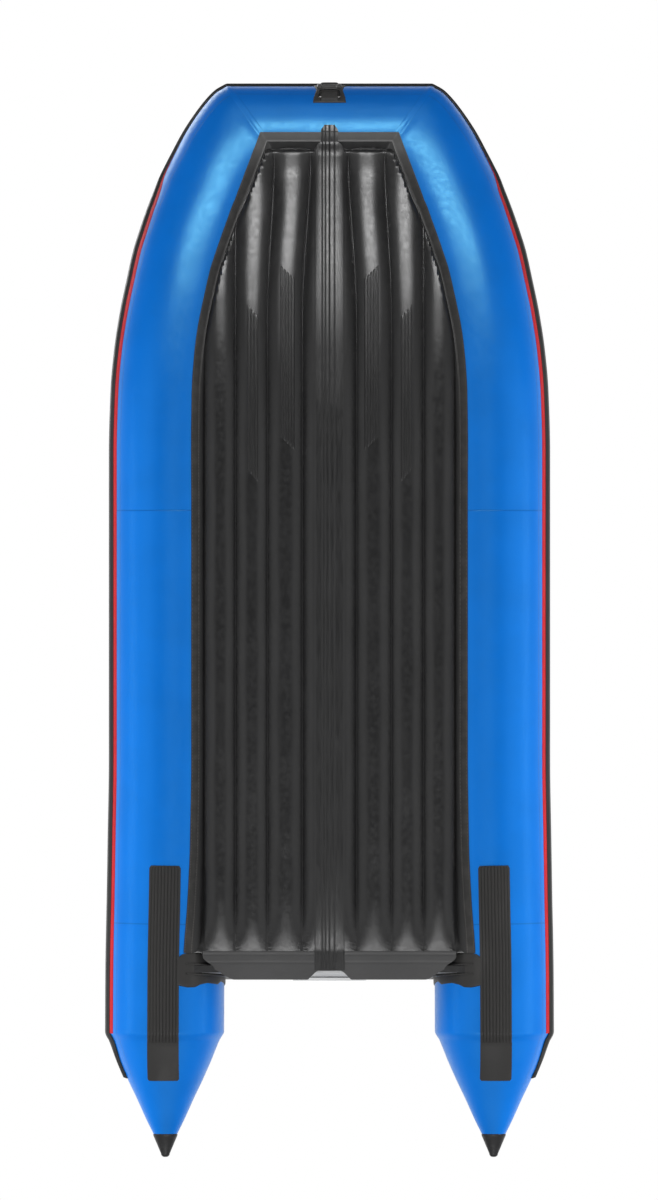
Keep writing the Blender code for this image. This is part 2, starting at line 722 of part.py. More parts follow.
def floor_line(hull, row, col, under):
    """One row of floor points from starboard to port, under the floor or on its deck."""
    edge = hull.point(row, col, FLOOR_GAP)
    half, y, edge_z = edge
    bottom_y = hull.point(row, TAPE_INNER, FLOOR_GAP)[1]
    share = (bottom_y - BOW_Y) / LENGTH
    bow = 1 - smooth(*CREASE_BOW_RANGE_SHARES, share)
    scale = half / hull.point(row, TAPE_INNER, FLOOR_GAP)[0]
    places = [p * scale for p in floor_columns(half / scale, bow)]
    front = hull.point(PORT_FIRST, TAPE_INNER, FLOOR_GAP)[1]
    fade = smooth(front, front + BULGE_START, bottom_y)
    aft = 1 - smooth(along(FLOOR_FADE_SHARES[0]), along(FLOOR_FADE_SHARES[-1]), bottom_y)
    keel_z = edge_z
    if under:
        keel_z += (rise(bottom_y) + CREASE_LEVEL - edge_z) * fade * aft
    line = []
    for n, x in enumerate(places):
        swell, channel = channel_swell([p / scale for p in places], n)
        depth = CENTRE_DEPTH if channel == 0 else CHANNEL_DEPTH
        level = keel_z + (edge_z - keel_z) * (x / half) ** 2
        if under:
            line.append((x, y, level - depth * swell * fade * aft))
        else:
            line.append((x, y, level + DECK_CHANNEL_DEPTH * swell * fade))
    return [(-x, y, z) for x, y, z in line[:0:-1]] + line


def build_floor(hull, made):
    """The air mattress: channels below and on the deck, its sides seated on the tubes."""
    rows = floor_rows(hull)
    cols = range(TAPE_INNER, DECK_EDGE + 1)
    layers = [[floor_line(hull, r, c, c == TAPE_INNER) for r in rows] for c in cols]
    under, deck = layers[0], layers[-1]
    bm = bmesh.new()
    low = [[bm.verts.new(p) for p in line] for line in under]
    top = [[bm.verts.new(p) for p in line] for line in deck]
    last_row, last_col = len(low) - 1, len(low[0]) - 1
    for grid in (low, top):
        for r in range(last_row):
            for c in range(last_col):
                quad(bm, grid[r][c], grid[r][c + 1], grid[r + 1][c + 1], grid[r + 1][c])
    rim = [(0, c) for c in range(last_col)] + [(r, last_col) for r in range(last_row)]
    rim += [(last_row, c) for c in range(last_col, 0, -1)] + [(r, 0) for r in range(last_row, 0, -1)]
    walls = [[low[r][c] for r, c in rim]]
    for line in layers[1:-1]:
        walls.append([bm.verts.new(wall_point(line, under, deck, r, c, last_row, last_col)) for r, c in rim])
    walls.append([top[r][c] for r, c in rim])
    for near, far in zip(walls, walls[1:]):
        for n in range(len(rim)):
            m = (n + 1) % len(rim)
            quad(bm, near[n], near[m], far[m], far[n])
    finish(bm, "floor_mattress", made, 50)
    return Skin([line[::-1] for line in under], wraps=False), Skin(deck, wraps=False)


def wall_point(line, under, deck, r, c, last_row, last_col):
    """A point of the floor's rim between its underside and its deck."""
    if c in (0, last_col):
        return line[r][c]
    x, _, _ = line[r][c]
    if r == 0:
        return (x, line[r][0][1], line[r][0][2])
    low, top = under[r][c], deck[r][c]
    share = (line[r][0][2] - under[r][0][2]) / (deck[r][0][2] - under[r][0][2])
    return tuple(a + (b - a) * share for a, b in zip(low, top))


def build_keel_strip(hull, floor, flap_z, made):
    """Strip down the middle of the floor. It laps onto the bow tube and onto the stern flap."""
    middle = len(floor.rows[0]) // 2
    cols = [middle + n for n in range(-2, 3)]
    half_places = [floor.rows[len(floor.rows) // 2][c][0] for c in cols]
    lift = GAP
    under, over = [], []
    step = (CHAFE_INNER - CHAFE_OUTER) / math.degrees(2 * math.asin(CHAFE_WIDTH / 2 / TUBE_RADIUS))
    laps = [CHAFE_INNER - KEEL_LAP_ANGLE * step, CHAFE_INNER]
    for col in laps + [COLUMNS + c for c in range(TAPE_OUTER, TAPE_INNER + 1)]:
        for grid, height in ((under, KEEL_LAP_LIFT), (over, KEEL_LAP_LIFT + KEEL_THICKNESS)):
            _, y, z = hull.point(BOW_ROW, col, height)
            grid.append([(x * CREASE_BOW_SHARES[0], y, z) for x in half_places])
    flap_front = along(FLAP_FRONT_SHARE)
    for r in range(1, len(floor.rows)):
        if floor.rows[r][middle][1] < flap_front - FLAP_THICKNESS:
            under.append([floor.point(r, c, lift) for c in cols])
            over.append([floor.point(r, c, lift + KEEL_THICKNESS) for c in cols])
    for y in (flap_front - FLAP_THICKNESS, flap_front + FLAP_THICKNESS, along(KEEL_END_SHARE)):
        under.append([(x, y, flap_z - GAP) for x in half_places])
        over.append([(x, y, flap_z - GAP - KEEL_THICKNESS) for x in half_places])
    plate("keel_strip", under, over, made)


def build_wear_strips(floor, made):
    """Ribbed strips on the crests of the second and third channels, two on each side."""
    middle = len(floor.rows[0]) // 2
    for name, channel, ribs, shares in (("inner", 0, WEAR_INNER_RIB_COUNT, WEAR_INNER_SHARES),
                                        ("outer", 1, WEAR_OUTER_RIB_COUNT, WEAR_OUTER_SHARES)):
        start = CHANNEL_STARTS[channel] + 1
        count = 2 * ribs + 1
        heights = [WEAR_BASE + (WEAR_RIB_HEIGHT if n % 2 else 0.0) for n in range(count)]
        for side in (1, -1):
            cols = [middle - side * (start + 2 * n / (count - 1)) for n in range(count)]
            first, last = (floor.row_at(along(s), cols[0], 0, len(floor.rows) - 1) for s in shares)
            node = f"wear_strip_{name}_{side_name(side)}"
            layer(node, floor, between(first, last), cols, GAP, heights, made)


# Stern: flap, transom, holders and pads


def rake(z):
    """How far aft the transom's middle plane has moved at a height above its foot."""
    return (z - TRANSOM_FOOT) * math.tan(math.radians(TRANSOM_RAKE))


def inboard(share):
    """Distance from the centreline to a line beside the transom, inboard of the tube's middle line.

    It lies a share of the tube's radius inboard: 1 is the tube's inner side.
    """
    across, places = [ring[0] for ring in HULL_RING_SHARES], [ring[1] for ring in HULL_RING_SHARES]
    return HALF_BEAM * float(np.interp(TRANSOM_SHARE, places, across)) - share * TUBE_RADIUS


def build_flap(flap_top, made):
    front = along(FLAP_FRONT_SHARE)
    half = [
        (FLAP_NOTCH_TOP_HALF, front + FLAP_LENGTH - FLAP_NOTCH_DEPTH),
        (FLAP_NOTCH_HALF, front + FLAP_LENGTH),
        (inboard(FLAP_CORNER_INSET_SHARE), front + FLAP_LENGTH),
        (inboard(FLAP_SHOULDER_INSET_SHARE), front + FLAP_SHOULDER_DROP),
        (inboard(FLAP_SIDE_INSET_SHARE), front + FLAP_SIDE_DROP),
        (inboard(FLAP_FRONT_INSET_SHARE), front),
    ]
    outline = [(x, y, flap_top) for x, y in half] + [(-x, y, flap_top) for x, y in half[::-1]]
    extruded("stern_flap", outline, (0.0, 0.0, -FLAP_THICKNESS), made)


def holder_columns():
    """Columns of the tube that the transom's edge follows, from its foot to above the tube's waist."""
    return [HOLDER_START_COLUMN] + list(range(TAPE_OUTER, DECK_EDGE + 4))


def transom_point(hull, side, col, lift, shift=0.0):
    """A point beside the transom's edge at a column, moved along the hull by a shift."""
    near = hull.row_at(along(TRANSOM_SHARE), col, PORT_FIRST, PORT_LAST)
    z = hull.point(near, col, lift)[2]
    y = along(TRANSOM_SHARE) + rake(z) + shift
    row = hull.row_at(y, col, PORT_FIRST, PORT_LAST)
    x, _, z = hull.point(row, col, lift)
    return Vector((side * x, y, z))


def build_holders(hull, made):
    """Channels glued to the tubes, with two lips that hold the transom's edge."""
    inner = TRANSOM_THICKNESS / 2 / math.cos(math.radians(TRANSOM_RAKE)) + GAP
    outer = inner + HOLDER_LIP_THICKNESS
    edge = HOLDER_WIDTH / 2
    base = GAP + HOLDER_THICKNESS
    for side in (1, -1):
        rings = []
        for col in holder_columns():
            crest = base + HOLDER_LIP_HEIGHT * smooth(TAPE_OUTER, DECK_EDGE, col) + GAP
            section = ((-edge, GAP), (-edge, base), (-outer, base), (-outer, crest), (-inner, crest),
                       (-inner, base), (inner, base), (inner, crest), (outer, crest), (outer, base),
                       (edge, base), (edge, GAP))
            rings.append([transom_point(hull, side, col, lift, shift) for shift, lift in section])
        loft_rings("transom_holder_" + side_name(side), rings, made)


def transom_outline(hull):
    """The transom's port half, from its foot up: along the tube, then up to a rounded shoulder."""
    seat = 2 * GAP + HOLDER_THICKNESS
    points = [transom_point(hull, 1, c, seat) for c in holder_columns() if c >= TAPE_INNER]
    side = [(p.x, p.z) for p in points if p.z > TRANSOM_FOOT]
    side.insert(0, (side[0][0], TRANSOM_FOOT))
    radius = TRANSOM_SHOULDER_RADIUS
    centre = (side[-1][0] - radius, TRANSOM_TOP - radius)
    for step in range(TRANSOM_CORNER_COUNT + 1):
        turn = math.radians(90 * step / TRANSOM_CORNER_COUNT)
        side.append((centre[0] + radius * math.cos(turn), centre[1] + radius * math.sin(turn)))
    return side


def build_transom(hull, made):
    half = transom_outline(hull)
    thick = TRANSOM_THICKNESS / 2 / math.cos(math.radians(TRANSOM_RAKE))
    y = along(TRANSOM_SHARE)
    front = [(x, y + rake(z) - thick, z) for x, z in half]
    outline = front + [(-x, y, z) for x, y, z in front[::-1]]
    board = extruded("transom_board", outline, (0.0, 2 * thick, 0.0), made)
    for side in (1, -1):
        pipe = cylinder_profile(SCUPPER_PIPE_RADIUS + GAP, -TRANSOM_THICKNESS, TRANSOM_THICKNESS)
        place = scupper_place(side)
        hole = turned("scupper_hole_" + side_name(side), pipe, made, place)
        cut = board.modifiers.new("scupper", "BOOLEAN")
        cut.operation = "DIFFERENCE"
        cut.solver = "EXACT"
        cut.object = cutter(hole)


def cylinder_profile(radius, low, high):
    return [(0.0, low), (radius, low), (radius, high), (0.0, high)]


def transom_place(x, z):
    """A frame on the transom's middle plane: its Z points aft, square to the board, its X to port."""
    turn = Matrix.Rotation(math.radians(-90 - TRANSOM_RAKE), 4, "X")
    return Matrix.Translation((x, along(TRANSOM_SHARE) + rake(z), z)) @ turn


def scupper_place(side):
    """A scupper's place: a share of the way from the centreline to the tube's inner side."""
    return transom_place(side * SCUPPER_SPREAD_SHARE * inboard(1.0), SCUPPER_HEIGHT)


def build_motor_pads(outer_made, inner_made):
    for name, size, way, made in (("motor_pad_outer", PAD_OUTER_SIZE, 1, outer_made),
                                  ("motor_pad_inner", PAD_INNER_SIZE, -1, inner_made)):
        width, thick, tall = size
        z = TRANSOM_TOP - PAD_TOP_MARGIN - tall / 2
        place = transom_place(0.0, z) @ Matrix.Translation((0.0, 0.0, way * (TRANSOM_THICKNESS / 2 + GAP)))
        outline = [(x * width / 2, y * tall / 2, 0.0) for x, y in ((-1, -1), (1, -1), (1, 1), (-1, 1))]
        pad = extruded(name, outline, (0.0, 0.0, way * thick), made, place)
        soften = pad.modifiers.new("edges", "BEVEL")
        soften.width = PAD_BEVEL
        soften.segments = 1


def build_scuppers(made, flap_made):
    """Drain pipes through the transom, each with a rubber flap hinged above its mouth."""
    aft = TRANSOM_THICKNESS / 2 + GAP
    for side in (1, -1):
        profile = [
            (SCUPPER_BORE_RADIUS, -TRANSOM_THICKNESS / 2 - SCUPPER_INNER_PROUD),
            (SCUPPER_PIPE_RADIUS, -TRANSOM_THICKNESS / 2 - SCUPPER_INNER_PROUD),
            (SCUPPER_PIPE_RADIUS, aft),
            (SCUPPER_FLANGE_RADIUS, aft),
            (SCUPPER_FLANGE_RADIUS, aft + SCUPPER_FLANGE_THICKNESS),
            (SCUPPER_BORE_RADIUS, aft + SCUPPER_FLANGE_THICKNESS),
        ]
        place = scupper_place(side)
        turned("scupper_body_" + side_name(side), profile, made, place)
        hinge = aft + SCUPPER_FLANGE_THICKNESS + GAP + SCUPPER_FLAP_THICKNESS / 2
        half = SCUPPER_TAB_WIDTH / 2
        start = math.acos(half / SCUPPER_FLAP_RADIUS)
        arc = [start - (math.pi + 2 * start) * n / 18 for n in range(19)]
        disc = [(SCUPPER_FLAP_RADIUS * math.cos(a), SCUPPER_FLAP_RADIUS * math.sin(a)) for a in arc]
        tab = [(-half, SCUPPER_TAB_HEIGHT), (half, SCUPPER_TAB_HEIGHT)]
        outline = [(x, y - SCUPPER_TAB_HEIGHT, -SCUPPER_FLAP_THICKNESS / 2) for x, y in disc + tab]
        shift = Matrix.Translation((0.0, -SCUPPER_TAB_HEIGHT, hinge))
        flip = Matrix.Rotation(math.pi, 4, "Z")
        extruded("scupper_flap_" + side_name(side), outline, (0.0, 0.0, SCUPPER_FLAP_THICKNESS), flap_made,
                 place @ shift @ flip)


# Seats and rowlocks


def build_seat_rails(hull, made):
    """Slotted tracks on the inner side of the tubes' tops."""
    middle = TRACK_COLUMN + 0.5
    spots = (-TRACK_HALF_COLUMN_SHARE, -TRACK_SLOT_SHARE, TRACK_SLOT_SHARE, TRACK_HALF_COLUMN_SHARE)
    first, last = (hull.row_at(along(s), TRACK_COLUMN, PORT_FIRST, PORT_LAST) for s in RAIL_SHARES)
    for side in (1, -1):
        rings = []
        for row in (first, last):
            row = side_row(side, row)
            low = [hull.point(row, middle + s, GAP) for s in (spots[0], spots[3])]
            tops = [hull.point(row, middle + spots[0], GAP + TRACK_HEIGHT)]
            tops += [hull.point(row, middle + spots[1], GAP + h) for h in (TRACK_HEIGHT, TRACK_FLOOR)]
            tops += [hull.point(row, middle + spots[2], GAP + h) for h in (TRACK_FLOOR, TRACK_HEIGHT)]
            tops += [hull.point(row, middle + spots[3], GAP + TRACK_HEIGHT)]
            rings.append([low[0]] + tops + [low[1]])
        loft_rings("seat_rail_" + side_name(side), rings, made)


def build_thwarts(hull, board_made, bracket_made):
    """Two benches, each on two brackets whose tongues run in the tracks."""
    row = hull.row_at(along(sum(RAIL_SHARES) / 2), TRACK_COLUMN, PORT_FIRST, PORT_LAST)
    track_x, _, track_z = hull.mix(hull.rows, row, TRACK_COLUMN + 0.5)
    half, wide, level = track_x + THWART_OVERHANG, THWART_WIDTH / 2, track_z + THWART_RISE
    for label, y in zip(("fore", "aft"), THWART_PLACES):
        outline = [(x * half, y + s * wide, level) for x, s in ((-1, -1), (1, -1), (1, 1), (-1, 1))]
        board = extruded("thwart_" + label, outline, (0.0, 0.0, THWART_THICKNESS), board_made)
        soften = board.modifiers.new("edges", "BEVEL")
        soften.width = THWART_BEVEL
        soften.segments = 2
        for side in (1, -1):
            build_bracket(hull, label, side, y, level - GAP, bracket_made)


def build_bracket(hull, label, side, y, top, made):
    """A wedge between the sloping track and the level bench, cut straight across the boat."""
    row = hull.row_at(y, TRACK_COLUMN, PORT_FIRST, PORT_LAST)
    place = frame_on(hull, row, TRACK_COLUMN + 0.5)
    here, across, out = place.translation, -place.col[1].to_3d(), place.col[2].to_3d()
    if across.x < 0:
        across = -across
    track = GAP + TRACK_HEIGHT + RUNNING_GAP

    def spot(sideways, height):
        p = here + across * sideways + out * height
        return (side * p.x, p.z)

    low = [spot(-BRACKET_HALF_WIDTH, track), spot(-BRACKET_TONGUE_HALF, track),
           spot(-BRACKET_TONGUE_HALF, track - BRACKET_TONGUE_DEPTH),
           spot(BRACKET_TONGUE_HALF, track - BRACKET_TONGUE_DEPTH),
           spot(BRACKET_TONGUE_HALF, track), spot(BRACKET_HALF_WIDTH, track)]
    section = low + [(low[-1][0], top), (low[0][0], top)]
    outline = [(x, y - BRACKET_LENGTH / 2, z) for x, z in section]
    extruded(f"seat_bracket_{label}_{side_name(side)}", outline, (0.0, BRACKET_LENGTH, 0.0), made)


def build_rowlocks(hull, pad_made, socket_made, fork_made):
    row = hull.row_at(ROWLOCK_PLACE, TOP_COLUMN, PORT_FIRST, PORT_LAST)
    edges = (ROWLOCK_PLACE - ROWLOCK_PAD_HALF, ROWLOCK_PLACE + ROWLOCK_PAD_HALF)
    ends = [hull.row_at(y, TOP_COLUMN, PORT_FIRST, PORT_LAST) for y in edges]
    for side in (1, -1):
        cols = [TOP_COLUMN + s for s in ROWLOCK_PAD_COLUMN_STEPS]
        rows = [side_row(side, r) for r in between(*ends)]
        heights = [ROWLOCK_PAD_THICKNESS] * len(cols)
        layer("rowlock_pad_" + side_name(side), hull, rows, cols, GAP, heights, pad_made)
        seat = frame_on(hull, side_row(side, row), TOP_COLUMN + 0.5, 2 * GAP + ROWLOCK_PAD_THICKNESS)
        build_socket(side, seat, socket_made)
        build_fork(side, seat, fork_made)


def build_socket(side, seat, made):
    bore = PIN_RADIUS + RUNNING_GAP
    profile = [
        (0.0, 0.0), (SOCKET_FLANGE_RADIUS, 0.0), (SOCKET_FLANGE_RADIUS, SOCKET_FLANGE_THICKNESS / 2),
        (SOCKET_RADIUS + SOCKET_FLANGE_THICKNESS, SOCKET_FLANGE_THICKNESS),
        (SOCKET_RADIUS, 2 * SOCKET_FLANGE_THICKNESS), (SOCKET_RADIUS, SOCKET_HEIGHT), (bore, SOCKET_HEIGHT),
        (bore, SOCKET_FLOOR), (0.0, SOCKET_FLOOR),
    ]
    turned("rowlock_socket_" + side_name(side), profile, made, seat)


def build_fork(side, seat, made):
    """A U-shaped fork on a round pin that turns in the socket. It opens upward for the oar."""
    neck = SOCKET_HEIGHT + RUNNING_GAP
    foot = SOCKET_FLOOR + RUNNING_GAP
    outer = FORK_INNER_RADIUS + FORK_ARM
    centre = neck + FORK_NECK + FORK_ARM / 2 + FORK_INNER_RADIUS
    turns = [math.radians(-60 + 60 * n / (FORK_STEP_COUNT // 2)) for n in range(FORK_STEP_COUNT // 2 + 1)]
    outline = [(outer * math.cos(t), centre + outer * math.sin(t)) for t in turns]
    outline += [(outer, centre + FORK_ARM_RISE), (FORK_INNER_RADIUS, centre + FORK_ARM_RISE)]
    inner = [math.radians(-90 * n / FORK_STEP_COUNT) for n in range(FORK_STEP_COUNT + 1)]
    outline += [(FORK_INNER_RADIUS * math.cos(t), centre + FORK_INNER_RADIUS * math.sin(t)) for t in inner]
    half = [(SOCKET_RADIUS, neck), (SOCKET_RADIUS, neck + FORK_NECK / 2)] + outline
    profile = [(x, -FORK_WIDTH / 2, z) for x, z in half] + [(-x, -FORK_WIDTH / 2, z) for x, z in half[-2::-1]]
    fork = extruded("rowlock_fork_" + side_name(side), profile, (0.0, FORK_WIDTH, 0.0), made, seat)
    pin_profile = cylinder_profile(PIN_RADIUS, foot, neck + FORK_NECK / 2)
    pin = turned("rowlock_pin_" + side_name(side), pin_profile, made, seat)
    join = fork.modifiers.new("pin", "BOOLEAN")
    join.operation = "UNION"
    join.solver = "EXACT"
    join.object = cutter(pin)


# Valves and handles


def build_valve(label, place, body_made, cap_made):
    """A push valve: body with a bore, stem that is pressed to let air out, cap hinged at one side."""
    stem = VALVE_BORE_RADIUS - STEM_CLEAR
    stem_top = VALVE_HEIGHT - STEM_SINK
    stem_foot = VALVE_FLOOR + STEM_TRAVEL + STEM_CLEAR
    body = [
        (0.0, 0.0), (VALVE_FLANGE_RADIUS, 0.0), (VALVE_FLANGE_RADIUS, VALVE_FLANGE_THICKNESS),
        (VALVE_COLLAR_RADIUS, VALVE_FLANGE_THICKNESS), (VALVE_COLLAR_RADIUS, VALVE_HEIGHT),
        (VALVE_BORE_RADIUS, VALVE_HEIGHT), (VALVE_BORE_RADIUS, VALVE_FLOOR), (0.0, VALVE_FLOOR),
    ]
    housing = turned("valve_body_" + label, body, body_made, place, 20)
    join = housing.modifiers.new("hinge post", "BOOLEAN")
    join.operation = "UNION"
    join.solver = "EXACT"
    join.object = cutter(hinge_post(label, place, body_made))
    press = [(0.0, stem_foot), (stem, stem_foot), (stem, stem_top), (STEM_DIMPLE_RADIUS, stem_top),
             (STEM_DIMPLE_RADIUS, stem_top - STEM_DIMPLE_DEPTH), (0.0, stem_top - STEM_DIMPLE_DEPTH)]
    turned("valve_stem_" + label, press, body_made, place, 20)
    start = math.asin(VALVE_TAB_HALF / VALVE_CAP_RADIUS)
    arc = [start + (math.tau - 2 * start) * n / 20 for n in range(21)]
    disc = [(VALVE_CAP_RADIUS * math.cos(a), VALVE_CAP_RADIUS * math.sin(a)) for a in arc]
    tab = [(VALVE_TAB_REACH, -VALVE_TAB_HALF), (VALVE_TAB_REACH, VALVE_TAB_HALF)]
    outline = [(x - VALVE_TAB_REACH, y, 0.0) for x, y in disc + tab]
    hinge = place @ Matrix.Translation((VALVE_TAB_REACH, 0.0, VALVE_HEIGHT + GAP))
    extruded("valve_cap_" + label, outline, (0.0, 0.0, VALVE_CAP_THICKNESS), cap_made, hinge)


def hinge_post(label, place, made):
    """Block beside the collar that carries the cap's hinge. It ends just below and inboard of the axis."""
    inner = VALVE_COLLAR_RADIUS * 0.95
    outer = VALVE_TAB_REACH - GAP
    foot = VALVE_FLANGE_THICKNESS / 2
    outline = [(inner, -VALVE_TAB_HALF, foot), (outer, -VALVE_TAB_HALF, foot),
               (outer, VALVE_TAB_HALF, foot), (inner, VALVE_TAB_HALF, foot)]
    return extruded("valve_hinge_post_" + label, outline, (0.0, 0.0, VALVE_HEIGHT - foot), made, place)


def build_valves(hull, deck, body_made, cap_made):
    row = hull.row_at(along(SIDE_VALVE_SHARE), VALVE_COLUMN, PORT_FIRST, PORT_LAST)
    for side in (1, -1):
        place = frame_on(hull, side_row(side, row), VALVE_COLUMN + 0.5, GAP)
        build_valve(side_name(side), place, body_made, cap_made)
    place = frame_on(hull, BOW_ROW + BOW_VALVE_SHARE, VALVE_COLUMN + 0.5, GAP)
    build_valve("bow", place, body_made, cap_made)
    crest = len(deck.rows[0]) // 2 + CHANNEL_STARTS[1] + 2
    row = deck.row_at(along(FLOOR_VALVE_SHARE), crest, 0, len(deck.rows) - 1)
    spot = deck.mix(deck.rows, row, crest)
    build_valve("floor", Matrix.Translation(spot + np.array((0.0, 0.0, GAP))), body_made, cap_made)


def handle_outline():
    """Side view of a carry handle: two flat feet and a raised grip, from one foot's end to the other."""
    half, foot = HANDLE_LENGTH / 2, HANDLE_FOOT
    inner = half - foot
    lower = [(-half, 0.0), (-inner, 0.0), (-inner + HANDLE_SHOULDER, HANDLE_RISE),
             (inner - HANDLE_SHOULDER, HANDLE_RISE), (inner, 0.0), (half, 0.0)]
    lift = HANDLE_THICKNESS
    bend = inner - HANDLE_SHOULDER + lift / 2
    upper = [(half, lift), (inner + lift / 2, lift), (bend, HANDLE_RISE + lift),
             (-bend, HANDLE_RISE + lift), (-inner - lift / 2, lift), (-half, lift)]
    return lower + upper


def build_handles(hull, made):
    for label, y in zip(("fore", "aft"), HANDLE_PLACES):
        row = hull.row_at(y, HANDLE_COLUMN, PORT_FIRST, PORT_LAST)
        for side in (1, -1):
            place = frame_on(hull, side_row(side, row), HANDLE_COLUMN + 0.5, GAP)
            outline = [(x, -HANDLE_WIDTH / 2, z) for x, z in handle_outline()]
            name = f"carry_handle_{label}_{side_name(side)}"
            handle = extruded(name, outline, (0.0, HANDLE_WIDTH, 0.0), made, place)
            soften = handle.modifiers.new("edges", "BEVEL")
            soften.width = HANDLE_THICKNESS / 4
            soften.segments = 1


# Bow fitting


def bow_point(hull, x, col, lift):
    """A point of the straight bow tube at X."""
    middle = hull.point(BOW_ROW, col, lift)
    return (x, middle[1], middle[2])


def build_bow_fitting(hull, base_made, ring_made):
    """A waisted plate low on the front of the bow tube, its bridge, and the tow ring that swings in it."""
    cols = [CHAFE_OUTER - step for step in FITTING_COLUMN_STEPS]
    shares = [s / 4 for s in range(-4, 5)]
    grids = []
    for lift in (GAP, GAP + FITTING_THICKNESS):
        grids.append([[bow_point(hull, s * FITTING_HALF_WIDTH * w, c, lift) for s in shares]
                      for c, w in zip(cols, FITTING_HALF_SHARES)])
    base = plate("bow_fitting_base", grids[0], grids[1], base_made)
    half, deep = BRIDGE_HALF_WIDTH, BRIDGE_LENGTH / 2
    small = half * BRIDGE_TAPER_SHARE
    outline = [(-half, -deep, 0.0), (half, -deep, 0.0), (small, deep, 0.0), (-small, deep, 0.0)]
    seat = bow_fitting_place(hull)
    bridge = extruded("bow_bridge", outline, (0.0, 0.0, BRIDGE_HEIGHT), base_made, seat)
    rod = cylinder_profile(TOW_RING_WIRE + RUNNING_GAP, -FITTING_HALF_WIDTH, FITTING_HALF_WIDTH)
    axis = seat @ Matrix.Translation((0.0, 0.0, TOW_RING_LIFT)) @ Matrix.Rotation(math.radians(90), 4, "Y")
    bore = turned("bow_bridge_bore", rod, base_made, axis, 12)
    for operation, item in (("UNION", bridge), ("DIFFERENCE", bore)):
        step = base.modifiers.new(operation.lower(), "BOOLEAN")
        step.operation = operation
        step.solver = "EXACT"
        step.object = cutter(item)
    build_tow_ring(seat, ring_made)


def bow_fitting_place(hull):
    """A frame on the fitting: X to port, Y up round the tube, Z off the surface."""
    col = CHAFE_OUTER - 0.5
    here = Vector(hull.point(BOW_ROW, col, GAP + FITTING_THICKNESS / 2))
    low, high = (Vector(hull.point(BOW_ROW, c)) for c in (CHAFE_OUTER, CHAFE_OUTER - 1))
    up = (high - low).normalized()
    port = Vector((1.0, 0.0, 0.0))
    turn = Matrix((port, up, port.cross(up))).transposed().to_4x4()
    return Matrix.Translation(here) @ turn


def build_tow_ring(seat, made):
    """A D-shaped wire ring: its straight bar runs in the bridge, its bow lies up the fitting."""
    half, reach, corner = TOW_RING_HALF, TOW_RING_REACH, TOW_RING_CORNER
    points = [(-half, 0.0), (half, 0.0)]
    for cx, start in ((half - corner, 0), (-half + corner, 90)):
        for n in range(5):
            turn = math.radians(start + 90 * n / 4)
            points.append((cx + corner * math.cos(turn), reach - corner + corner * math.sin(turn)))
    curve = bpy.data.curves.new("bow_tow_ring", "CURVE")
    curve.dimensions = "3D"
    curve.bevel_depth = TOW_RING_WIRE
    curve.bevel_resolution = 2
    spline = curve.splines.new("POLY")
    spline.points.add(len(points) - 1)
    for p, (x, y) in zip(spline.points, points):
        p.co = (x, y, 0.0, 1.0)
    spline.use_cyclic_u = True
    curve.materials.append(made)
    item = bpy.data.objects.new("bow_tow_ring", curve)
    bpy.context.scene.collection.objects.link(item)
    item.matrix_world = seat @ Matrix.Translation((0.0, 0.0, TOW_RING_LIFT))


def main():
    clear_scene()
    fabric = material("blue hull fabric", BLUE, 0.42)
    floor_fabric = material("black floor fabric", BLACK, 0.45)
    trim = material("grey black trim", GREY_BLACK, 0.55)
    red = material("red band", RED, 0.4)
    wood = material("varnished plywood", WOOD, 0.35)
    plastic = material("black plastic", BLACK, 0.4)
    metal = material("anodised aluminium", ALUMINIUM, 0.35, 1.0)
    steel = material("stainless steel", STEEL, 0.25, 1.0)
    hull = hull_skin()
    build_tubes(hull, fabric)
    build_baffles(hull, fabric)
    build_tail_caps(hull, plastic)
    build_strake(hull, red, trim)
    build_floor_tape(hull, trim)
    build_chafe_strips(hull, trim)
    floor, deck = build_floor(hull, floor_fabric)
    flap_top = floor.rows[-1][0][2] - FLAP_SEAT_GAP
    build_keel_strip(hull, floor, flap_top - FLAP_THICKNESS, trim)
    build_wear_strips(floor, trim)
    build_flap(flap_top, floor_fabric)
    build_holders(hull, trim)
    build_transom(hull, wood)
    build_motor_pads(metal, plastic)
    build_scuppers(plastic, trim)
    build_seat_rails(hull, plastic)
    build_thwarts(hull, wood, plastic)
    build_rowlocks(hull, trim, plastic, metal)
    build_valves(hull, deck, plastic, plastic)
    build_handles(hull, trim)
    build_bow_fitting(hull, plastic, steel)


main()
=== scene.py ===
"""Looks of an inflatable boat seen from straight below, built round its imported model.

The bow points to -Y, port is +X and +Z is up, in metres. Every surface is a grid of points worked out
from the hull's rings: a ring is an upright ellipse whose angle is measured from straight down,
inboard positive.
"""

import math
from functools import partial

import bpy
import numpy as np
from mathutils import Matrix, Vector


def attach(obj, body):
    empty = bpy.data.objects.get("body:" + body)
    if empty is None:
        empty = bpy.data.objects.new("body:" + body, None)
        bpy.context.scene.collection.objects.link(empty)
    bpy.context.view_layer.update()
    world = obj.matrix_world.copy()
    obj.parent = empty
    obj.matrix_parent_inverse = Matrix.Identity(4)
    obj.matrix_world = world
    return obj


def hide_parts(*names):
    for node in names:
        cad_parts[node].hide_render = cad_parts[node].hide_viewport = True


# Hull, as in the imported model
LENGTH = 3.80
HALF_BEAM = 0.7915
TUBE_RADIUS = 0.205
TUBE_BOTTOM = 0.0045
BOW_RISE = 0.28
RISE_START = 0.345
RISE_POWER = 1.8
TRANSOM_SHARE = 0.8240
TRANSOM_RAKE = 5.0
TRANSOM_FOOT = 0.0275
BOARD_HALF = 0.0125
FLOOR_GAP = 0.057
FLOOR_END = LENGTH * (TRANSOM_SHARE - 0.5) - FLOOR_GAP

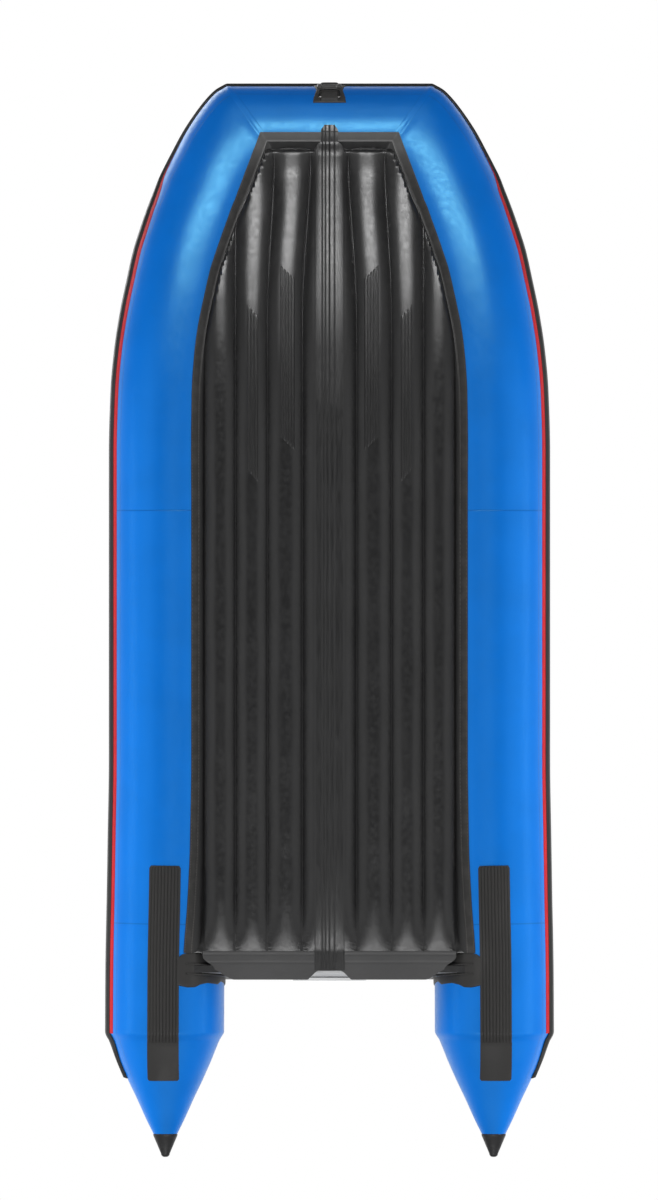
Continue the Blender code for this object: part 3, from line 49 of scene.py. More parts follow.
# Share of the half beam and of the length, angle in plan, stretch, girth and the floor tape's angle
RINGS = np.array((
    (0.2776, 0.0549, 54.8, 1.224, 1.0, -10.4), (0.3129, 0.0596, 54.1, 1.234, 1.0, -4.6),
    (0.3397, 0.0633, 53.4, 1.214, 1.0, -0.6), (0.3773, 0.0703, 50.5, 1.172, 1.0, 4.5),
    (0.4283, 0.0829, 41.6, 1.100, 1.0, 10.2), (0.4689, 0.0949, 32.3, 1.038, 1.0, 14.3),
    (0.5016, 0.1040, 24.0, 1.0, 1.0, 18.1), (0.5346, 0.1209, 22.0, 1.0, 1.0, 18.7),
    (0.5650, 0.1376, 20.0, 1.0, 1.0, 19.1), (0.5923, 0.1544, 17.5, 1.0, 1.0, 19.1),
    (0.6156, 0.1701, 15.0, 1.0, 1.0, 19.1), (0.6428, 0.1962, 12.5, 1.0, 1.0, 18.8),
    (0.6683, 0.2222, 10.5, 1.0, 1.0, 18.8), (0.6929, 0.2565, 7.5, 1.0, 1.0, 19.8),
    (0.7063, 0.2898, 4.0, 1.0, 1.0, 20.8), (0.7130, 0.3450, 0.0, 1.0, 1.0, 21.8),
    (0.7130, 0.4100, 0.0, 1.0, 1.0, 22.0), (0.7130, 0.5000, 0.0, 1.0, 1.0, 22.0),
    (0.7130, 0.5652, 0.0, 1.0, 1.0, 22.0), (0.7130, 0.6304, 0.5, 1.0, 1.0, 22.0),
    (0.7184, 0.7048, 0.9, 1.0, 1.0, 22.0), (0.7228, 0.7607, 0.9, 1.0, 1.0, 20.2),
    (0.7278, 0.8138, 0.5, 1.0, 1.0, 17.4), (0.7291, 0.8417, 0.0, 1.0, 1.0, 17.4),
    (0.7300, 0.8827, 0.0, 1.0, 1.0, 17.4), (0.7313, 0.8911, 0.0, 1.0, 0.926, 17.4),
    (0.7331, 0.9097, 0.0, 1.0, 0.793, 17.4), (0.7337, 0.9283, 0.0, 1.0, 0.643, 17.4),
    (0.7337, 0.9469, 0.0, 1.0, 0.479, 17.4), (0.7337, 0.9655, 0.0, 1.0, 0.324, 17.4),
    (0.7337, 0.9790, 0.0, 1.0, 0.200, 17.4)))
LAST = len(RINGS) - 1

# Floor: distances of its creases from the middle, and their squeeze towards the bow
CREASES = np.array((0.094, 0.2175, 0.331, 0.4405))
CREASE_BOW = np.array((0.69, 0.89, 1.0, 1.0))
CREASE_LEVEL = 0.0334
CENTRE_DEPTH = 0.030
CHANNEL_DEPTH = 0.024
DECK_DEPTH = 0.016
FLOOR_LIFT = 0.0006
TAPE_WIDTH = math.degrees(0.034 / TUBE_RADIUS)
DECK_ANGLE = 58.0
FLOOR_RAMP = 0.24

# Keel strip: half width, ridges as shares of it, and lines across it. Wear strips: near and far x, front and
# back y and number of ribs, and how far their outer edge leads
KEEL_HALF = 0.053
KEEL_RIDGES = (-0.47, -0.27, 0.0, 0.33)
KEEL_LINES = (-1.733, -1.188, -0.56, 0.28)
WEAR_STRIPS = {"inner": (0.123, 0.1735, -1.206, -0.598, 5), "outer": (0.2512, 0.292, -1.068, -0.485, 4)}
WEAR_SLANT = -0.049

# Camera, and the room's brightness by how steeply light comes up from below, from 1, straight up, to -1
METRES_PER_PIXEL = 3.5382e-3
CAMERA_AWAY = 60.0
IMAGE_HEIGHT = 1200
IMAGE_MIDDLE = (329.0, 600.0)
MODEL_MIDDLE = (329.5, 620.0)
SKY_LEVELS = ((-1.0, 0.95), (-0.75, 0.95), (-0.35, 0.35), (0.0, 0.12), (0.30, 0.18), (0.58, 0.50),
              (0.76, 0.50), (0.91, 0.05), (1.0, 0.04))
SKY_DIM = 0.06


def along(share):
    """Y at a share of the length."""
    return LENGTH * (share - 0.5)


def smooth(low, high, value):
    """Smooth step: 3 t^2 - 2 t^3 with t running from 0 at low to 1 at high."""
    t = np.clip((np.asarray(value, float) - low) / (high - low), 0.0, 1.0)
    return t * t * (3 - 2 * t)


def joined(*stretches):
    """Numbers in even steps over stretches (from, to, count) that follow one another."""
    return np.unique(np.concatenate([np.linspace(*stretch) for stretch in stretches]))


def rise(y):
    """Lift of the hull: BOW_RISE times the 1.8th power of the share of the way to the mitre."""
    start, front = along(RISE_START), along(RINGS[0, 1])
    return BOW_RISE * np.clip((start - y) / (start - front), 0.0, None) ** RISE_POWER


# Ring table between rings


def ring_table():
    """Per ring: centre x, y, z, plan angle, half width, half height, tape angle, girth and share."""
    across, share, plan, stretch, girth, tape = RINGS.T
    x, y = HALF_BEAM * across, along(share)
    z = TUBE_BOTTOM + TUBE_RADIUS + rise(y)
    before, after = np.arange(-1, LAST), np.minimum(np.arange(1, LAST + 2), LAST)
    run = np.hypot(x[after] - x[before], y[after] - y[before])
    height = TUBE_RADIUS * girth / np.cos(np.arctan2(z[before] - z[after], run))
    height[0] = TUBE_RADIUS
    width = TUBE_RADIUS * stretch * girth
    return np.column_stack((x, y, z, np.radians(plan), width, height, tape, girth, share))


TABLE = ring_table()
REACH = np.concatenate(((0.0,), np.cumsum(np.hypot(*np.diff(TABLE[:, :2], axis=0).T))))


def table_slopes():
    """Slope at each ring: harmonic mean of the two secants where they agree in sign, else none."""
    secant = np.diff(TABLE, axis=0) / np.diff(REACH)[:, None]
    near, far = secant[:-1], secant[1:]
    agree = near * far > 0
    middle = np.where(agree, 2 * near * far / np.where(agree, near + far, 1.0), 0.0)
    return np.vstack((secant[:1], middle, secant[-1:]))


SLOPES = table_slopes()


def between_rings(s):
    """Ring values at fractional ring numbers, on cubic Hermite curves through the rings."""
    n = np.clip(np.floor(s).astype(int), 0, LAST - 1)
    t = (s - n)[..., None]
    gap = (REACH[n + 1] - REACH[n])[..., None]
    return ((1 + 2 * t) * (1 - t) ** 2 * TABLE[n] + t * (1 - t) ** 2 * gap * SLOPES[n]
            + t * t * (3 - 2 * t) * TABLE[n + 1] + t * t * (t - 1) * gap * SLOPES[n + 1])


def port_point(s, angle):
    """Point of the port tube, half width * sin(angle) inboard and half height * cos(angle) below its axis."""
    s, angle = np.broadcast_arrays(np.asarray(s, float), np.radians(angle))
    v = between_rings(s)
    reach = -v[..., 4] * np.sin(angle)
    return np.stack((v[..., 0] + np.cos(v[..., 3]) * reach, v[..., 1] - np.sin(v[..., 3]) * reach,
                     v[..., 2] - v[..., 5] * np.cos(angle)), axis=-1)


def hull_point(way, s, angle):
    """Point of the hull. way is 1 to port, -1 to starboard and 0 on the bow, where s is -1 to 1 across."""
    way, s = np.broadcast_arrays(np.asarray(way, float), np.asarray(s, float))
    points = port_point(np.where(way == 0, 0.0, s), angle)
    points[..., 0] *= np.where(way == 0, s, way)
    return points


def ring_at(y, angle):
    """Ring numbers where the port tube at an angle reaches the given Y."""
    s = np.linspace(0, LAST, 3000)
    return np.interp(y, port_point(s, angle)[:, 1], s)


def round_the_bow(last, side_rows, bow_rows):
    """Rows of the whole U: starboard from ring last to the mitre, the bow, and port back to ring last."""
    side = np.linspace(0, last, side_rows)
    bow = np.linspace(-1, 1, bow_rows + 2)[1:-1]
    way = np.concatenate((np.full(side_rows, -1.0), np.zeros(bow_rows), np.full(side_rows, 1.0)))
    return way[:, None], np.concatenate((side[::-1], bow, side))[:, None]


def facing(points):
    """Unit normals of a grid: its step across, crossed with its step along."""
    normal = np.cross(np.gradient(points, axis=1), np.gradient(points, axis=0))
    return normal / np.maximum(np.linalg.norm(normal, axis=2, keepdims=True), 1e-12)


# Meshes from grids


def linked(name, data):
    """New object in the scene."""
    item = bpy.data.objects.new(name, data)
    bpy.context.scene.collection.objects.link(item)
    return item


def flipped(reverse, *grids):
    """The grids, with their columns in reverse order where asked, so that their faces point outward."""
    return [grid[:, ::-1] if reverse else grid for grid in grids]


def piece(name, points, faces, made, uv=None, crease=35.0):
    """Object at the origin from points and faces of three or more corners, with a UV for each corner."""
    mesh = bpy.data.meshes.new(name)
    mesh.from_pydata(points.reshape(-1, 3).tolist(), [], [list(map(int, f)) for f in faces])
    if uv is not None:
        mesh.uv_layers.new(name="UVMap").uv.foreach_set("vector", np.asarray(uv, "f").ravel())
    mesh.materials.append(made)
    mesh.shade_smooth()
    mesh.set_sharp_from_angle(angle=math.radians(crease))
    return linked(name, mesh)


def grid_corners(rows, cols, wrap):
    """Row and column numbers of each cell's four corners. A wrapped grid has one more column of cells."""
    r, c = np.meshgrid(np.arange(rows - 1), np.arange(cols if wrap else cols - 1), indexing="ij")
    corners = (r, r, r + 1, r + 1), (c, c + 1, c + 1, c)
    return [np.stack(numbers, -1).reshape(-1, 4) for numbers in corners]


def pipe(name, points, made, uv):
    """Closed pipe from rings of points: cells wrap round, and a flat face closes each end."""
    rows, cols = points.shape[:2]
    r, c = grid_corners(rows, cols, True)
    faces = list(r * cols + c % cols)
    corners = uv[r, c].reshape(-1, 2)
    ends = (np.arange(cols)[::-1], (rows - 1) * cols + np.arange(cols))
    tips = np.vstack((uv[0, :cols][::-1], uv[-1, :cols]))
    return piece(name, points, faces + list(ends), made, np.vstack((corners, tips)))


def slab(name, low, top, made, uv, crease=35.0):
    """Closed layer between two grids with the same rows and columns: top, underside and rim."""
    rows, cols = low.shape[:2]
    r, c = grid_corners(rows, cols, False)
    cells = r * cols + c
    count = rows * cols
    rim = np.concatenate((np.arange(cols - 1), np.arange(rows - 1) * cols + cols - 1,
                          count - 1 - np.arange(cols - 1), (rows - 1 - np.arange(rows - 1)) * cols))
    after = np.roll(rim, -1)
    wall = np.stack((rim + count, after + count, after, rim), -1)
    faces = np.vstack((cells, cells[:, ::-1] + count, wall))
    flat = uv.reshape(-1, 2)
    corner_uv = np.vstack((flat[cells].reshape(-1, 2), flat[cells[:, ::-1]].reshape(-1, 2),
                           flat[np.stack((rim, after, after, rim), -1)].reshape(-1, 2)))
    points = np.concatenate((top.reshape(-1, 3), low.reshape(-1, 3)))
    return piece(name, points, faces, made, corner_uv, crease)


def turned(name, profile, centre, made, steps=64):
    """Profile points (radius, distance aft) turned round a line along Y, closed by a point at each end."""
    profile, aft = np.array(profile), np.array((0.0, 1.0, 0.0))
    turn = np.linspace(0, 2 * math.pi, steps, endpoint=False)
    ring = np.stack((np.cos(turn), np.zeros(steps), -np.sin(turn)), -1)
    body = profile[1:-1]
    points = centre + body[:, None, :1] * ring + body[:, None, 1:] * aft
    rows = len(body)
    r, c = grid_corners(rows, steps, True)
    faces = list(r * steps + c % steps)
    tip = rows * steps
    faces += [(tip, (k + 1) % steps, k) for k in range(steps)]
    faces += [(tip + 1, tip - steps + k, tip - steps + (k + 1) % steps) for k in range(steps)]
    tips = centre + profile[[0, -1], 1:] * aft
    return piece(name, np.vstack((points.reshape(-1, 3), tips)), faces, made)


def part_of(item, slot, *nodes):
    """Lets a piece ride on the hull and stand for CAD nodes, which it hides. The slot is not used."""
    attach(item, "hull")
    if nodes:
        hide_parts(*nodes)


def spaced(rows, cols, wide=1.0, long=1.0):
    """UV of a plain grid: its columns across in u, its rows along in v."""
    v, u = np.meshgrid(np.linspace(0, long, rows), np.linspace(0, wide, cols), indexing="ij")
    return np.stack((u, v), -1)


def strip(name, base, lift, heights, made, size, crease, slot, *nodes):
    """Strip on a surface: its underside is lifted off the base grid, its top by the heights more.

    size is its UV's width and length, and slot and nodes are those of part_of.
    """
    out, uv = facing(base), spaced(*base.shape[:2], *size)
    heights = np.broadcast_to(heights, base.shape[:2])[..., None]
    item = slab(name, base + out * lift, base + out * (lift + heights), made, uv, crease)
    part_of(item, slot, *nodes)


# Finishes


def put(tree, socket, value):
    """Links an input of a node to another node's output, or sets its value."""
    if isinstance(value, bpy.types.NodeSocket):
        tree.links.new(value, socket)
    else:
        socket.default_value = value


def add_node(tree, kind, *values, operation=None):
    """Shader node whose first inputs are linked to sockets or set to values."""
    made = tree.nodes.new("ShaderNode" + kind)
    if operation:
        made.operation = operation
    for socket, value in zip(made.inputs, values):
        put(tree, socket, value)
    return made


def eased(tree, *values):
    """Value taken by a smooth step from one range, low to high, to another or else to 0 to 1."""
    made = add_node(tree, "MapRange", *values)
    made.interpolation_type = "SMOOTHSTEP"
    return made.outputs[0]


class Finish:
    """A node material: a Principled shader and short calls that add texture nodes to it."""

    def __init__(self, name, colour, roughness, metallic=0.0, specular=0.5, tint=(1.0, 1.0, 1.0)):
        self.made = bpy.data.materials.new(name)
        self.made.use_nodes = True
        self.tree = self.made.node_tree
        self.shader = self.tree.nodes["Principled BSDF"]
        self.node, self.ranged = partial(add_node, self.tree), partial(eased, self.tree)
        self.colour = (*colour, 1.0)
        for socket, value in (("Base Color", self.colour), ("Roughness", roughness), ("Metallic", metallic),
                              ("Specular IOR Level", specular), ("Specular Tint", (*tint, 1.0))):
            self.put(socket, value)
        coords = self.node("TexCoord").outputs
        self.place, self.uv = coords["Object"], coords["UV"]
        self.bumped = None

    def put(self, socket, value, node=None):
        """Links or sets an input of a node, or else of the shader."""
        put(self.tree, (node or self.shader).inputs[socket], value)

    def noise(self, scale, detail=3.0, stretch=(1.0, 1.0, 1.0), source=None):
        """Noise in place coordinates, drawn out along an axis where stretch is below one."""
        mapping = self.node("Mapping", source or self.place)
        self.put("Scale", stretch, mapping)
        texture = self.node("TexNoise", mapping.outputs[0])
        self.put("Scale", scale, texture)
        self.put("Detail", detail, texture)
        return texture.outputs["Fac"]

    def math(self, operation, a, b=0.0):
        return self.node("Math", a, b, operation=operation).outputs[0]

    def mixed(self, share, a, b):
        node = self.node("Mix", share)
        node.data_type = "RGBA"
        self.put(6, a, node)
        self.put(7, b, node)
        return node.outputs[2]

    def part(self, which):
        """One coordinate, 0 or 1, of the UV."""
        return self.node("SeparateXYZ", self.uv).outputs[which]

    def line(self, value, places, half_width):
        """One on thin lines where the value meets any of the places, else nought."""
        total = None
        for place in places:
            off = self.math("ABSOLUTE", self.math("SUBTRACT", value, place))
            mark = self.ranged(off, half_width * 0.4, half_width, 1.0, 0.0)
            total = mark if total is None else self.math("MAXIMUM", total, mark)
        return total

    def bump(self, height, distance, strength=1.0):
        node = self.node("Bump")
        self.put("Distance", distance, node)
        self.put("Strength", strength, node)
        self.put("Height", height, node)
        if self.bumped is not None:
            self.put("Normal", self.bumped, node)
        self.bumped = node.outputs[0]
        self.put("Normal", self.bumped)

    def paint(self, colour):
        self.put("Base Color", colour)

    def shade(self, share, factor):
        """The finish's colour, times the factor where share is one."""
        darker = tuple(min(c * factor, 1.0) for c in self.colour[:3]) + (1.0,)
        return self.mixed(share, self.colour, darker)

    def rough(self, value):
        self.put("Roughness", value)


def coated_fabric(name, colour, roughness, specular=0.5, tint=(1.0, 1.0, 1.0)):
    """Satin PVC-coated cloth: a slight mottle, a fine grain, and soft waves that bend its gloss."""
    f = Finish(name, colour, roughness, specular=specular, tint=tint)
    f.mottle = f.ranged(f.noise(5.0, 4.0), 0.35, 0.7, 0.0, 1.0)
    f.rough(f.ranged(f.noise(60.0, 5.0), 0.3, 0.7, roughness - 0.04, roughness + 0.05))
    f.bump(f.noise(7.0, 2.0), 0.008, 0.22)
    f.bump(f.noise(700.0, 2.0), 0.0004, 0.25)
    return f


def hull_finish(name):
    """Blue cloth of the air chambers. UV is metres along the tube and the share of a turn round it.

    The bow's chamber lies round -1 in u, and the mitre tapes round -2, where lines mark their edges.
    """
    f = coated_fabric(name, (0.0015, 0.195, 0.800), 0.34, 1.0, (0.30, 0.90, 1.0))
    round_share, metres = f.part(1), f.part(0)
    seams = f.line(round_share, (301.6 / 360, 122.0 / 360), 0.0022)
    joints = f.line(metres, (1.40, 2.86), 0.0035)
    tape_edges = f.line(metres, (-2.0092, -1.9908), 0.0012)
    marks = f.math("MAXIMUM", f.math("MAXIMUM", seams, joints), tape_edges)
    f.paint(f.mixed(f.math("MULTIPLY", marks, 0.45), f.shade(f.mottle, 0.93), (0.004, 0.085, 0.42, 1.0)))
    steps = f.math("ADD", f.ranged(round_share, 301.6 / 360, 301.9 / 360, 0.0, 1.0),
                   f.ranged(metres, 1.40, 1.403, 0.0, 1.0))
    f.bump(steps, 0.0009, 0.8)
    return f.made


def floor_finish(name):
    """Black cloth of the air floor. UV is the place inside a channel, -1 to 1, and metres along."""
    f = coated_fabric(name, (0.0110, 0.0110, 0.0115), 0.35, 1.0)
    near_crease = f.ranged(f.math("ABSOLUTE", f.part(0)), 0.55, 1.0, 0.0, 1.0)
    gathers = f.noise(90.0, 2.0, (0.05, 1.0, 1.0), f.uv)
    f.bump(f.math("MULTIPLY", gathers, near_crease), 0.004, 0.45)
    f.paint(f.shade(f.mottle, 1.35))
    return f.made


def strip_finish(name, colour, roughness, specular=0.45):
    """Moulded black strip: fine grain, scuffs drawn out along the boat, and paler worn patches."""
    f = Finish(name, colour, roughness, specular=specular)
    worn = f.ranged(f.noise(9.0, 6.0, (1.0, 0.25, 1.0)), 0.52, 0.75, 0.0, 1.0)
    scuffs = f.noise(240.0, 3.0, (1.0, 0.06, 1.0))
    f.paint(f.shade(f.math("MULTIPLY", worn, scuffs), 1.9))
    f.rough(f.ranged(scuffs, 0.3, 0.7, roughness - 0.06, roughness + 0.08))
    f.bump(scuffs, 0.0006, 0.3)
    f.bump(f.noise(1100.0, 2.0), 0.0003, 0.3)
    return f.made


def tape_finish(name):
    """Joining tape: woven grey-black cloth with stitched edges, a painted highlight along its inner edge and
    painted light round the bow.

    UV runs across in u, and in metres in v, with the bow half way.
    """
    f = Finish(name, (0.034, 0.033, 0.032), 0.5)
    across, metres = f.part(0), f.part(1)
    from_bow = f.math("ABSOLUTE", f.math("SUBTRACT", metres, LENGTH))
    dashes = f.ranged(f.math("SINE", f.math("MULTIPLY", metres, 900.0)), -0.3, 0.3, 0.2, 1.0)
    stitches = f.math("MULTIPLY", f.line(across, (0.12, 0.86), 0.035), dashes)
    # A pale line along the inner edge near the bow: a painted highlight.
    edge = f.math("MULTIPLY", f.line(across, (0.955,), 0.045), f.ranged(from_bow, 2.1, 2.6, 1.0, 0.0))
    cloth = f.shade(f.ranged(f.noise(30.0, 4.0), 0.4, 0.7, 0.0, 1.0), 1.5)
    sewn = f.mixed(stitches, cloth, (0.12, 0.115, 0.11, 1.0))
    # Paler towards the bow: painted light, where the lamp ahead falls on the tape.
    paler = f.mixed(f.ranged(from_bow, 0.4, 1.0, 0.35, 0.0), sewn, (0.17, 0.17, 0.17, 1.0))
    f.paint(f.mixed(edge, paler, (0.21, 0.21, 0.21, 1.0)))
    f.bump(stitches, 0.0012, 0.6)
    f.bump(f.noise(500.0, 2.0), 0.0004, 0.3)
    return f.made


def red_finish(name):
    """Red band cloth with a slight mottle and fine grain."""
    f = coated_fabric(name, (0.60, 0.007, 0.016), 0.42, 0.3, (1.0, 0.3, 0.3))
    f.paint(f.shade(f.mottle, 0.88))
    return f.made


def plywood_finish(name):
    """Varnished plywood: long grain in X with darker growth lines, under a clear coat."""
    f = Finish(name, (0.40, 0.235, 0.115), 0.38)
    grain = f.noise(26.0, 6.0, (0.10, 1.0, 1.0))
    lines = f.ranged(f.math("SINE", f.math("MULTIPLY", grain, 60.0)), -0.6, 0.9, 0.0, 1.0)
    pale = f.mixed(f.ranged(grain, 0.35, 0.7, 0.0, 1.0), f.colour, (0.52, 0.33, 0.17, 1.0))
    f.paint(f.mixed(f.math("MULTIPLY", lines, 0.35), pale, (0.24, 0.12, 0.05, 1.0)))
    f.bump(lines, 0.0004, 0.25)
    f.put("Coat Weight", 0.6)
    f.put("Coat Roughness", 0.12)
    return f.made


def metal_finish(name, colour, roughness):
    """Bare or anodised metal: fine brushed lines along X and a few slightly darker patches."""
    f = Finish(name, colour, roughness, metallic=1.0)
    brushed = f.noise(900.0, 2.0, (0.03, 1.0, 1.0))
    f.rough(f.ranged(brushed, 0.3, 0.7, roughness - 0.06, roughness + 0.1))
    f.paint(f.shade(f.ranged(f.noise(20.0, 4.0), 0.45, 0.7, 0.0, 1.0), 0.85))
    f.bump(brushed, 0.0002, 0.2)
    return f.made


def plastic_finish(name, colour, roughness, worn=1.6):
    """Moulded plastic with a fine pebbled surface and patches here and there of its colour times worn."""
    f = Finish(name, colour, roughness)
    f.paint(f.shade(f.ranged(f.noise(35.0, 5.0), 0.5, 0.75, 0.0, 1.0), worn))
    f.rough(f.ranged(f.noise(120.0, 3.0), 0.3, 0.7, roughness - 0.05, roughness + 0.07))
    f.bump(f.noise(1500.0, 2.0), 0.0003, 0.4)
    return f.made


BLUE = hull_finish("blue coated fabric")
FLOOR_BLACK = floor_finish("black coated fabric")
# The flap's grey, lighter than the floor's black, is painted light: it stands in for light that its flat
# downward face misses.
FLAP_BLACK_PAINTED_LIGHTER = coated_fabric("flap fabric with painted light", (0.060, 0.060, 0.061), 0.42, 0.8).made
FITTING_GREY = strip_finish("grey-black fitting", (0.050, 0.049, 0.048), 0.5)
STRIP_BLACK = strip_finish("grey-black strip", (0.036, 0.035, 0.034), 0.46)
KEEL_BLACK = strip_finish("black ribbed strip", (0.014, 0.014, 0.0145), 0.38, 1.0)
RAIL_BLACK = strip_finish("black rub rail", (0.030, 0.030, 0.030), 0.5)
TAPE_BLACK = tape_finish("woven joining tape")
RED = red_finish("red band fabric")
PLYWOOD = plywood_finish("varnished plywood")
ALUMINIUM = metal_finish("anodised aluminium", (0.62, 0.63, 0.64), 0.34)
DARK_STEEL = metal_finish("blackened steel", (0.11, 0.11, 0.11), 0.32)
PAINTED = plastic_finish("pale grey painted board", (0.62, 0.63, 0.64), 0.45, 0.94)
PLASTIC = plastic_finish("black moulded plastic", (0.022, 0.022, 0.023), 0.42)


# Air chambers


def chamber(way, s, metres, name, node):
    """Air chamber: closed rings at s along the hull. UV is metres along it and the share of a turn."""
    angle, = flipped(way < 0, np.linspace(0, 360, 120, endpoint=False)[None])
    points = hull_point(way, s[:, None], angle)
    turn = np.append(angle, 2 * angle[0, -1] - angle[0, -2]) / 360
    uv = np.stack(np.broadcast_arrays(metres[:, None], turn[None]), -1)
    part_of(pipe(name, points, BLUE, uv), "hull_fabric", node)


def mitre_tape(way, name):
    """Blue seam tape over a mitre: it follows the bow tube on one side and the side tube on the other."""
    half = 0.014
    bow_half = half / math.sin(math.radians(RINGS[0, 2]))
    angle = np.linspace(-180, 180, 160, endpoint=False)
    seam = hull_point(0, way, angle[None])[0]
    steps = np.linspace(-1, 1, 9)
    rows = []
    for step in steps:
        if step <= 0:
            moved = seam.copy()
            moved[:, 0] += way * step * bow_half
        else:
            reach = np.linalg.norm(hull_point(way, 1.0, angle) - seam, axis=-1)
            moved = hull_point(way, np.clip(step * half / np.maximum(reach, 0.006), 0, 3.0), angle)
        rows.append(moved)
    points = np.array(rows)
    out = np.cross(np.roll(points, -1, axis=1) - np.roll(points, 1, axis=1), np.gradient(points, axis=0))
    out /= np.linalg.norm(out, axis=2, keepdims=True)
    centre = seam.mean(axis=0)
    if np.sum(out * (points - centre)) < 0:
        out = -out
    lift = (0.0011 * (1 - np.abs(steps) ** 6) - 0.0004)[:, None, None]
    points, = flipped(way < 0, points + out * lift)
    cols = points.shape[1]
    r, c = grid_corners(len(points), cols, True)
    uv = np.stack(np.broadcast_arrays(-2.0 + steps[:, None] * 0.01, np.linspace(0, 0.3, cols + 1)[None]), -1)
    made = piece(name, points, r * cols + c % cols, BLUE, uv[r, c].reshape(-1, 2))
    part_of(made, "hull_fabric")


def tail_cap(way, name, node):
    """Black nose: a cone that ends in a rounded tip, with a lip over the fabric."""
    centre = hull_point(way, float(LAST), np.linspace(0, 360, 64, endpoint=False)).mean(axis=0)
    tip, round_off, length = 0.0155, 0.012, 0.0795
    lip = [(0.0, -0.004), (0.0400, -0.004), (0.0427, -0.0025), (0.0430, 0.0), (0.0426, 0.004),
           (0.0405, 0.0085)]
    turn = np.radians(np.linspace(0, 90, 10))
    nose = [(tip - round_off * (1 - math.cos(a)), length - round_off * (1 - math.sin(a))) for a in turn]
    profile = lip + nose + [(0.0, length)]
    item = turned(name, profile, centre, PLASTIC)
    part_of(item, "black_plastic", node)


# Strips on the hull


def section_marks(s):
    """Angles on a ring: the floor tape's two edges, and the middles of the band, rail and chafe strip."""
    v = between_rings(s)
    tape = v[..., 6]
    lift = 22.0 * (1 - smooth(0.072, 0.123, v[..., 8]))
    return {"tape": tape, "floor": tape + TAPE_WIDTH, "band": 270.0 - lift, "rail": 270.0 - lift * 0.5,
            "chafe": 360.0 + np.minimum(-2.8, tape - 18.0)}


def whole_hull_strip(name, node, end_share, half_width, lift, profile, made, slot, cols, mark):
    """Strip round the whole hull at a marked angle of the section. profile gives its height across.

    It is 0.62 of its width on the bow and widens by a smooth step, and its ends narrow in the same way.
    """
    end = float(ring_at(along(end_share), 268.0))
    way, s = round_the_bow(end, 260, 60)
    ring = np.where(way == 0, 0.0, s)
    middle = section_marks(ring)[mark]
    girth, share = between_rings(ring[:, 0])[:, 7:9, None].swapaxes(0, 1)
    q = np.linspace(-1, 1, cols)[None]
    narrow = 0.62 + 0.38 * smooth(0.06, 0.16, share) - 0.5 * smooth(0.885, 0.920, share)
    base = hull_point(way, s, middle + q * narrow * math.degrees(half_width / TUBE_RADIUS) / girth)
    end_fade = np.clip((end - ring) / 0.06, 0.0, 1.0) ** 0.5
    heights = profile(np.abs(q)) * np.where(way == 0, 1.0, end_fade)
    size = 2 * half_width, 2 * LENGTH
    strip(name, base, lift, np.maximum(heights, 0.0003), made, size, 35.0, slot, node)


def rail_profile(q):
    """Rail with steep sides and two grooves: 9 mm high in the middle, 2 mm at the edges."""
    return 0.0070 * (1 - smooth(0.72, 1.0, q)) + 0.0020 - 0.0014 * np.exp(-((q - 0.36) / 0.06) ** 2)


def band_profile(q):
    """Band 2.4 mm high, less 2.2 mm times the 12th power of the place across."""
    return 0.0022 * (1 - q ** 12) + 0.0002


def rub_strake():
    """Red band along the tubes' widest line, and the black rail over it."""
    whole_hull_strip("rub_band", "rub_strake_band", 0.8845, 0.086, 0.0004, band_profile, RED,
                     "red_band", 15, "band")
    whole_hull_strip("rub_rail", "rub_strake_rail", 0.9265, 0.058, 0.0024, rail_profile, RAIL_BLACK,
                     "black_rubber", 25, "rail")


def floor_tape():
    """Tape between floor and hull: two raised edges and a slack middle, from the tape's angle inboard."""
    end = float(ring_at(FLOOR_END, 18.0))
    way, s = round_the_bow(end, 300, 60)
    start = section_marks(np.where(way == 0, 0.0, s))["tape"]
    q = np.linspace(0, 0.985, 17)[None]
    base = hull_point(way, s, start + q * TAPE_WIDTH)
    heights = 0.0010 + 0.0005 * np.exp(-((q - 0.06) / 0.05) ** 2) + 0.0013 * smooth(0.80, 0.95, q)
    strip("joining_tape", base, 0.0002, heights, TAPE_BLACK, (1.0, 2 * LENGTH), 35.0,
          "black_rubber", "floor_tape")


def side_wall():
    """Floor's side wall of black cloth, glued to the tube inboard of the tape, and wider at the bow."""
    end = float(ring_at(FLOOR_END, 25.0))
    way, s = round_the_bow(end, 260, 40)
    ring = np.where(way == 0, 0.0, s)
    q = np.linspace(-0.02, 1, 9)[None]
    reach = 24.0 + 26.0 * (1 - smooth(0.060, 0.095, between_rings(ring[:, 0])[:, 8, None]))
    base = hull_point(way, s, section_marks(ring)["floor"] + q * reach)
    strip("floor_side_wall", base, 0.0001, 0.0017, FLOOR_BLACK, (0.0, 2 * LENGTH), 35.0, "floor_fabric")


